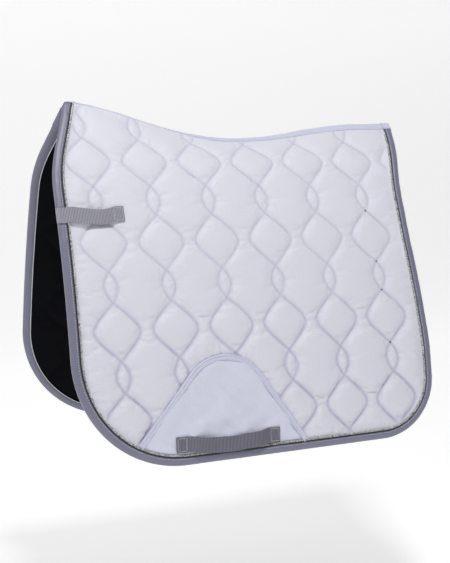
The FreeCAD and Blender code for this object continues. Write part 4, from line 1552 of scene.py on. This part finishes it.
# ---- the studio --------------------------------------------------------------------------------------
@dataclass
class Studio:
    """Camera, lights, pale floor and world."""

    eye: tuple = (-0.7687, -1.7507, 0.0021)
    aim: tuple = (-0.0233, 0.0, -0.2336)
    lens: float = 70.7
    floor_z: float = -0.80
    lamps: tuple = (
        ("key", (-0.3, -1.3, 2.3), 0.45, 42.0),
        ("side", (-1.9, -0.9, 0.6), 0.8, 4.0),
        ("top", (0.1, 0.3, 2.0), 1.2, 3.0),
    )
    world: str = "#F4F4FA"
    world_strength: float = 0.17
    floor_glow: float = 0.60

    def light(self, name: str, place: tuple, size: float, power: float) -> None:
        """Adds a square soft white light turned to the middle of the pad.

        Args:
            name: the lamp's name.
            place: where it hangs, in metres.
            size: length of its sides, in metres.
            power: its power, in watts.
        """
        data = bpy.data.lights.new(name, "AREA")
        data.shape = "SQUARE"
        data.size = size
        data.energy = power
        lamp = bpy.data.objects.new(name, data)
        lamp.location = place
        lamp.rotation_euler = self.turn(place, self.aim)
        bpy.context.scene.collection.objects.link(lamp)

    def turn(self, place: tuple, aim: tuple) -> tuple:
        """Rotation that points an object's -Z from one place to another with +Y up."""
        gap = [b - a for a, b in zip(place, aim)]
        flat = math.hypot(gap[0], gap[1])
        return (math.atan2(flat, -gap[2]), 0.0, math.atan2(gap[1], gap[0]) - math.pi / 2)

    def build(self) -> None:
        """Sets the camera, the lights, the floor and the colour handling."""
        scene = bpy.context.scene
        camera = bpy.data.objects.new("camera", bpy.data.cameras.new("camera"))
        camera.location = self.eye
        camera.rotation_euler = self.turn(self.eye, self.aim)
        camera.data.lens = self.lens
        camera.data.dof.use_dof = False
        scene.collection.objects.link(camera)
        scene.camera = camera
        for lamp in self.lamps:
            self.light(*lamp)
        world = bpy.data.worlds.new("studio")
        world.use_nodes = True
        sky = world.node_tree.nodes["Background"]
        sky.inputs["Color"].default_value = linear(self.world)
        sky.inputs["Strength"].default_value = self.world_strength
        scene.world = world
        scene.view_settings.view_transform = "Standard"
        self.floor()

    def floor(self) -> None:
        """Adds the pale floor, well below the pad, which sweeps up behind it with a round bend.

        The section is a flat run, a quarter circle and an upright run, carried 16 m sideways.  It gives
        off part of its brightness itself, so it looks evenly pale and the pad leaves a faint shadow.
        """
        bend = np.linspace(-90.0, 0.0, 24) * math.pi / 180
        radius, wall_y, top = 1500.0, 3600.0, 5000.0
        low = self.floor_z / MM
        y = np.concatenate([[-7000.0], wall_y - radius + radius * np.cos(bend), [wall_y]])
        z = np.concatenate([[low], low + radius + radius * np.sin(bend), [top]])
        left = np.stack([np.full_like(y, -8000.0), y, z], -1)
        right = np.stack([np.full_like(y, 8000.0), y, z], -1)
        k, count = np.arange(len(y) - 1), len(y)
        faces = [np.stack([k, k + count, k + count + 1, k + 1], -1)]
        floor = mesh_piece("floor", np.concatenate([left, right]), faces, Side.LEFT)
        paint = bpy.data.materials.new("pale_floor")
        paint.use_nodes = True
        shader = paint.node_tree.nodes["Principled BSDF"]
        shader.inputs["Base Color"].default_value = linear("#DADADA")
        shader.inputs["Roughness"].default_value = 0.9
        shader.inputs["Emission Color"].default_value = linear("#F8F8F8")
        shader.inputs["Emission Strength"].default_value = self.floor_glow
        floor.data.materials.append(paint)


# ---- the pad -----------------------------------------------------------------------------------------
@dataclass
class SidePieces:
    """Everything on one side of the pad, in the frame's bodies."""

    side: Side
    drape: Drape
    outline: Outline
    patch: PatchShape
    quilting: Quilting
    edge: Edge
    tape: SpineTape
    inflation: Inflation | None
    wardrobe: Wardrobe
    zone: float = 45.0
    knot_radius: float = 1.3

    def across_fold(self, piece: bpy.types.Object, finish: str) -> bpy.types.Object:
        """Dresses a piece that bends between the spine and this side's flap.

        Args:
            piece: the piece.
            finish: the name of its finish.

        Returns:
            The same piece.
        """
        low = self.drape.point(np.array(0.0), np.array(-self.zone), np.array(-5.0)) * MM
        high = self.drape.point(np.array(0.0), np.array(self.zone), np.array(-5.0)) * MM
        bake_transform(piece)
        return self.wardrobe.dress(piece, finish)

    def on_flap(self, piece: bpy.types.Object, finish: str) -> bpy.types.Object:
        """Dresses a piece that moves with this side's flap."""
        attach(piece, f"{self.side.label}_flap")
        return self.wardrobe.dress(piece, finish)

    def nodes(self, *names: str) -> list:
        """Names of this side's CAD nodes."""
        return [f"{self.side.label}_{name}" for name in names]

    def build_quilt(self) -> None:
        """Outer cloth, lining and quilting thread."""
        panel = QuiltedPanel(self.drape, self.outline, self.patch, self.quilting, self.side, self.tape,
                             self.inflation)
        outer = self.across_fold(panel.build_outer(), "white_satin")
        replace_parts(outer, *self.nodes("flap_shell", "upper_shell", "flap_wadding", "upper_wadding"))
        lining = self.across_fold(panel.build_lining(), "navy_lining")
        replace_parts(lining, *self.nodes("flap_lining", "upper_lining"))
        self.across_fold(QuiltingThread(panel).build(), "quilting_thread")
        rows = ((0, 1), (1, -1), (1, 1), (2, -1))
        w = np.array([self.quilting.first_w + r * self.quilting.repeat + e * self.quilting.lens_half_height
                      for r, e in rows]) + 2.75
        x = self.quilting.line_x(5, 1.0, w)
        z = self.drape.side_height(x, w)
        proud = panel.proud(x, w, self.outline.inset_of(x, z))
        centres = self.drape.point(x, w, proud + 0.8)
        normals = unit(self.drape.point(x, w, proud + 1.8) - centres)
        knots = mesh_piece(f"{self.side.label}_knots", *knots_mesh(centres, normals, self.knot_radius),
                           self.side)
        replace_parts(self.on_flap(knots, "dark_thread"), *self.nodes("flap_quilting_knots"))

    def build_trim(self) -> None:
        """Binding, flange, cord and the line of stitches along the binding."""
        trim = EdgeTrim(self.edge, self.side)
        binding = self.across_fold(trim.build_binding(), "grey_binding")
        upper = "front_upper_binding" if self.side is Side.LEFT else "rear_upper_binding"
        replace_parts(binding, *self.nodes("flap_binding"), upper)
        flange = self.across_fold(trim.build_flange(), "charcoal_flange")
        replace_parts(flange, *self.nodes("flap_flange", "front_flange", "rear_flange"))
        cord = self.across_fold(trim.build_piping(), "silver_piping")
        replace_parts(cord, *self.nodes("flap_piping", "front_upper_piping", "rear_upper_piping"))
        self.across_fold(trim.build_stitches(), "light_thread")
        self.across_fold(trim.build_inner_line(), "light_thread")
        if self.side is Side.RIGHT:
            lap = trim.build_binding("binding_lap", (9.0, 35.0), 0.7)
            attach(lap, "spine")
            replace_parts(self.wardrobe.dress(lap, "grey_binding"), "withers_binding_overlap")

    def build_girth(self) -> None:
        """The patch, its tape and the girth loop with its thread."""
        patch = GirthPatch(self.drape, self.outline, self.patch, self.side)
        cloth = self.on_flap(patch.build_patch(), "white_patch_cloth")
        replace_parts(cloth, *self.nodes("flap_girth_patch"))
        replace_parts(self.on_flap(patch.build_tape(), "white_tape"), *self.nodes("flap_patch_tape"))
        self.on_flap(patch.build_stitches(), "light_thread")
        route = ((-184.5, 2.4), (-165.5, 2.4), (-145.5, 7.4), (-46.0, 7.4), (-26.0, 2.4), (-7.0, 2.4))
        loop = Webbing(self.drape, self.side, "girth_loop", route, 428.1, sag=6.0)
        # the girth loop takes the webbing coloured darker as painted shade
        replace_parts(self.on_flap(loop.build(), "girth_webbing"), *self.nodes("flap_girth_loop"))
        thread = loop.build_stitching(((-182.0, -168.0), (-23.5, -9.5)))
        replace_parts(self.on_flap(thread, "webbing_thread"), *self.nodes("flap_girth_stitching"))

    def build_billet(self) -> None:
        """The loop sewn on the front binding and behind it; on the left its end just laps the edge."""
        end = ((-344.2, -1.6), (-342.0, 1.4)) if self.side is Side.LEFT else ((-341.0, 1.4),)
        route = end + ((-331.0, 1.9), (-322.0, 3.6), (-275.5, 3.8), (-255.5, 1.3), (-236.5, 1.3))
        loop = Webbing(self.drape, self.side, "billet_loop", route, 61.0, sag=5.5, sag_late=2.0)
        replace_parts(self.on_flap(loop.build(), "front_webbing"), *self.nodes("flap_billet_loop"))
        thread = loop.build_stitching(((-253.0, -239.0),))
        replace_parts(self.on_flap(thread, "webbing_thread"), *self.nodes("flap_billet_stitching"))


@dataclass
class SaddlePad:
    """The whole pad."""

    def build(self) -> None:
        """Builds both sides and the tapes along the spine."""
        drape = Drape()
        outline = Outline(drape)
        edge = Edge(drape, outline)
        tape = SpineTape(drape, edge)
        patch, quilting = PatchShape(), Quilting()
        inflation = None
        inflation = Inflation(drape, outline, patch, quilting, QuiltedPanel.hem)
        inflation.run()
        wardrobe = Wardrobe()
        for side in Side:
            pieces = SidePieces(side, drape, outline, patch, quilting, edge, tape, inflation, wardrobe)
            for build in (pieces.build_quilt, pieces.build_trim, pieces.build_girth, pieces.build_billet):
                build()
                LOG.info("%s: %s", side.label, build.__doc__)
        for piece, slot, node in ((tape.build_outer(), "white_tape", "spine_tape_outer"),
                                  (tape.build_stitches(), "light_thread", None),
                                  (tape.build_end(), "white_tape", "spine_tape_end"),
                                  (tape.build_inner(), "navy_tape", "spine_tape_inner")):
            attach(wardrobe.dress(piece, slot), "spine")
            if node:
                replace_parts(piece, node)
            LOG.info("spine: %s", piece.name)


def main() -> None:
    logging.basicConfig(level=logging.INFO, format="%(message)s")
    SaddlePad().build()
    Studio().build()


if __name__ == "__main__":
    main()
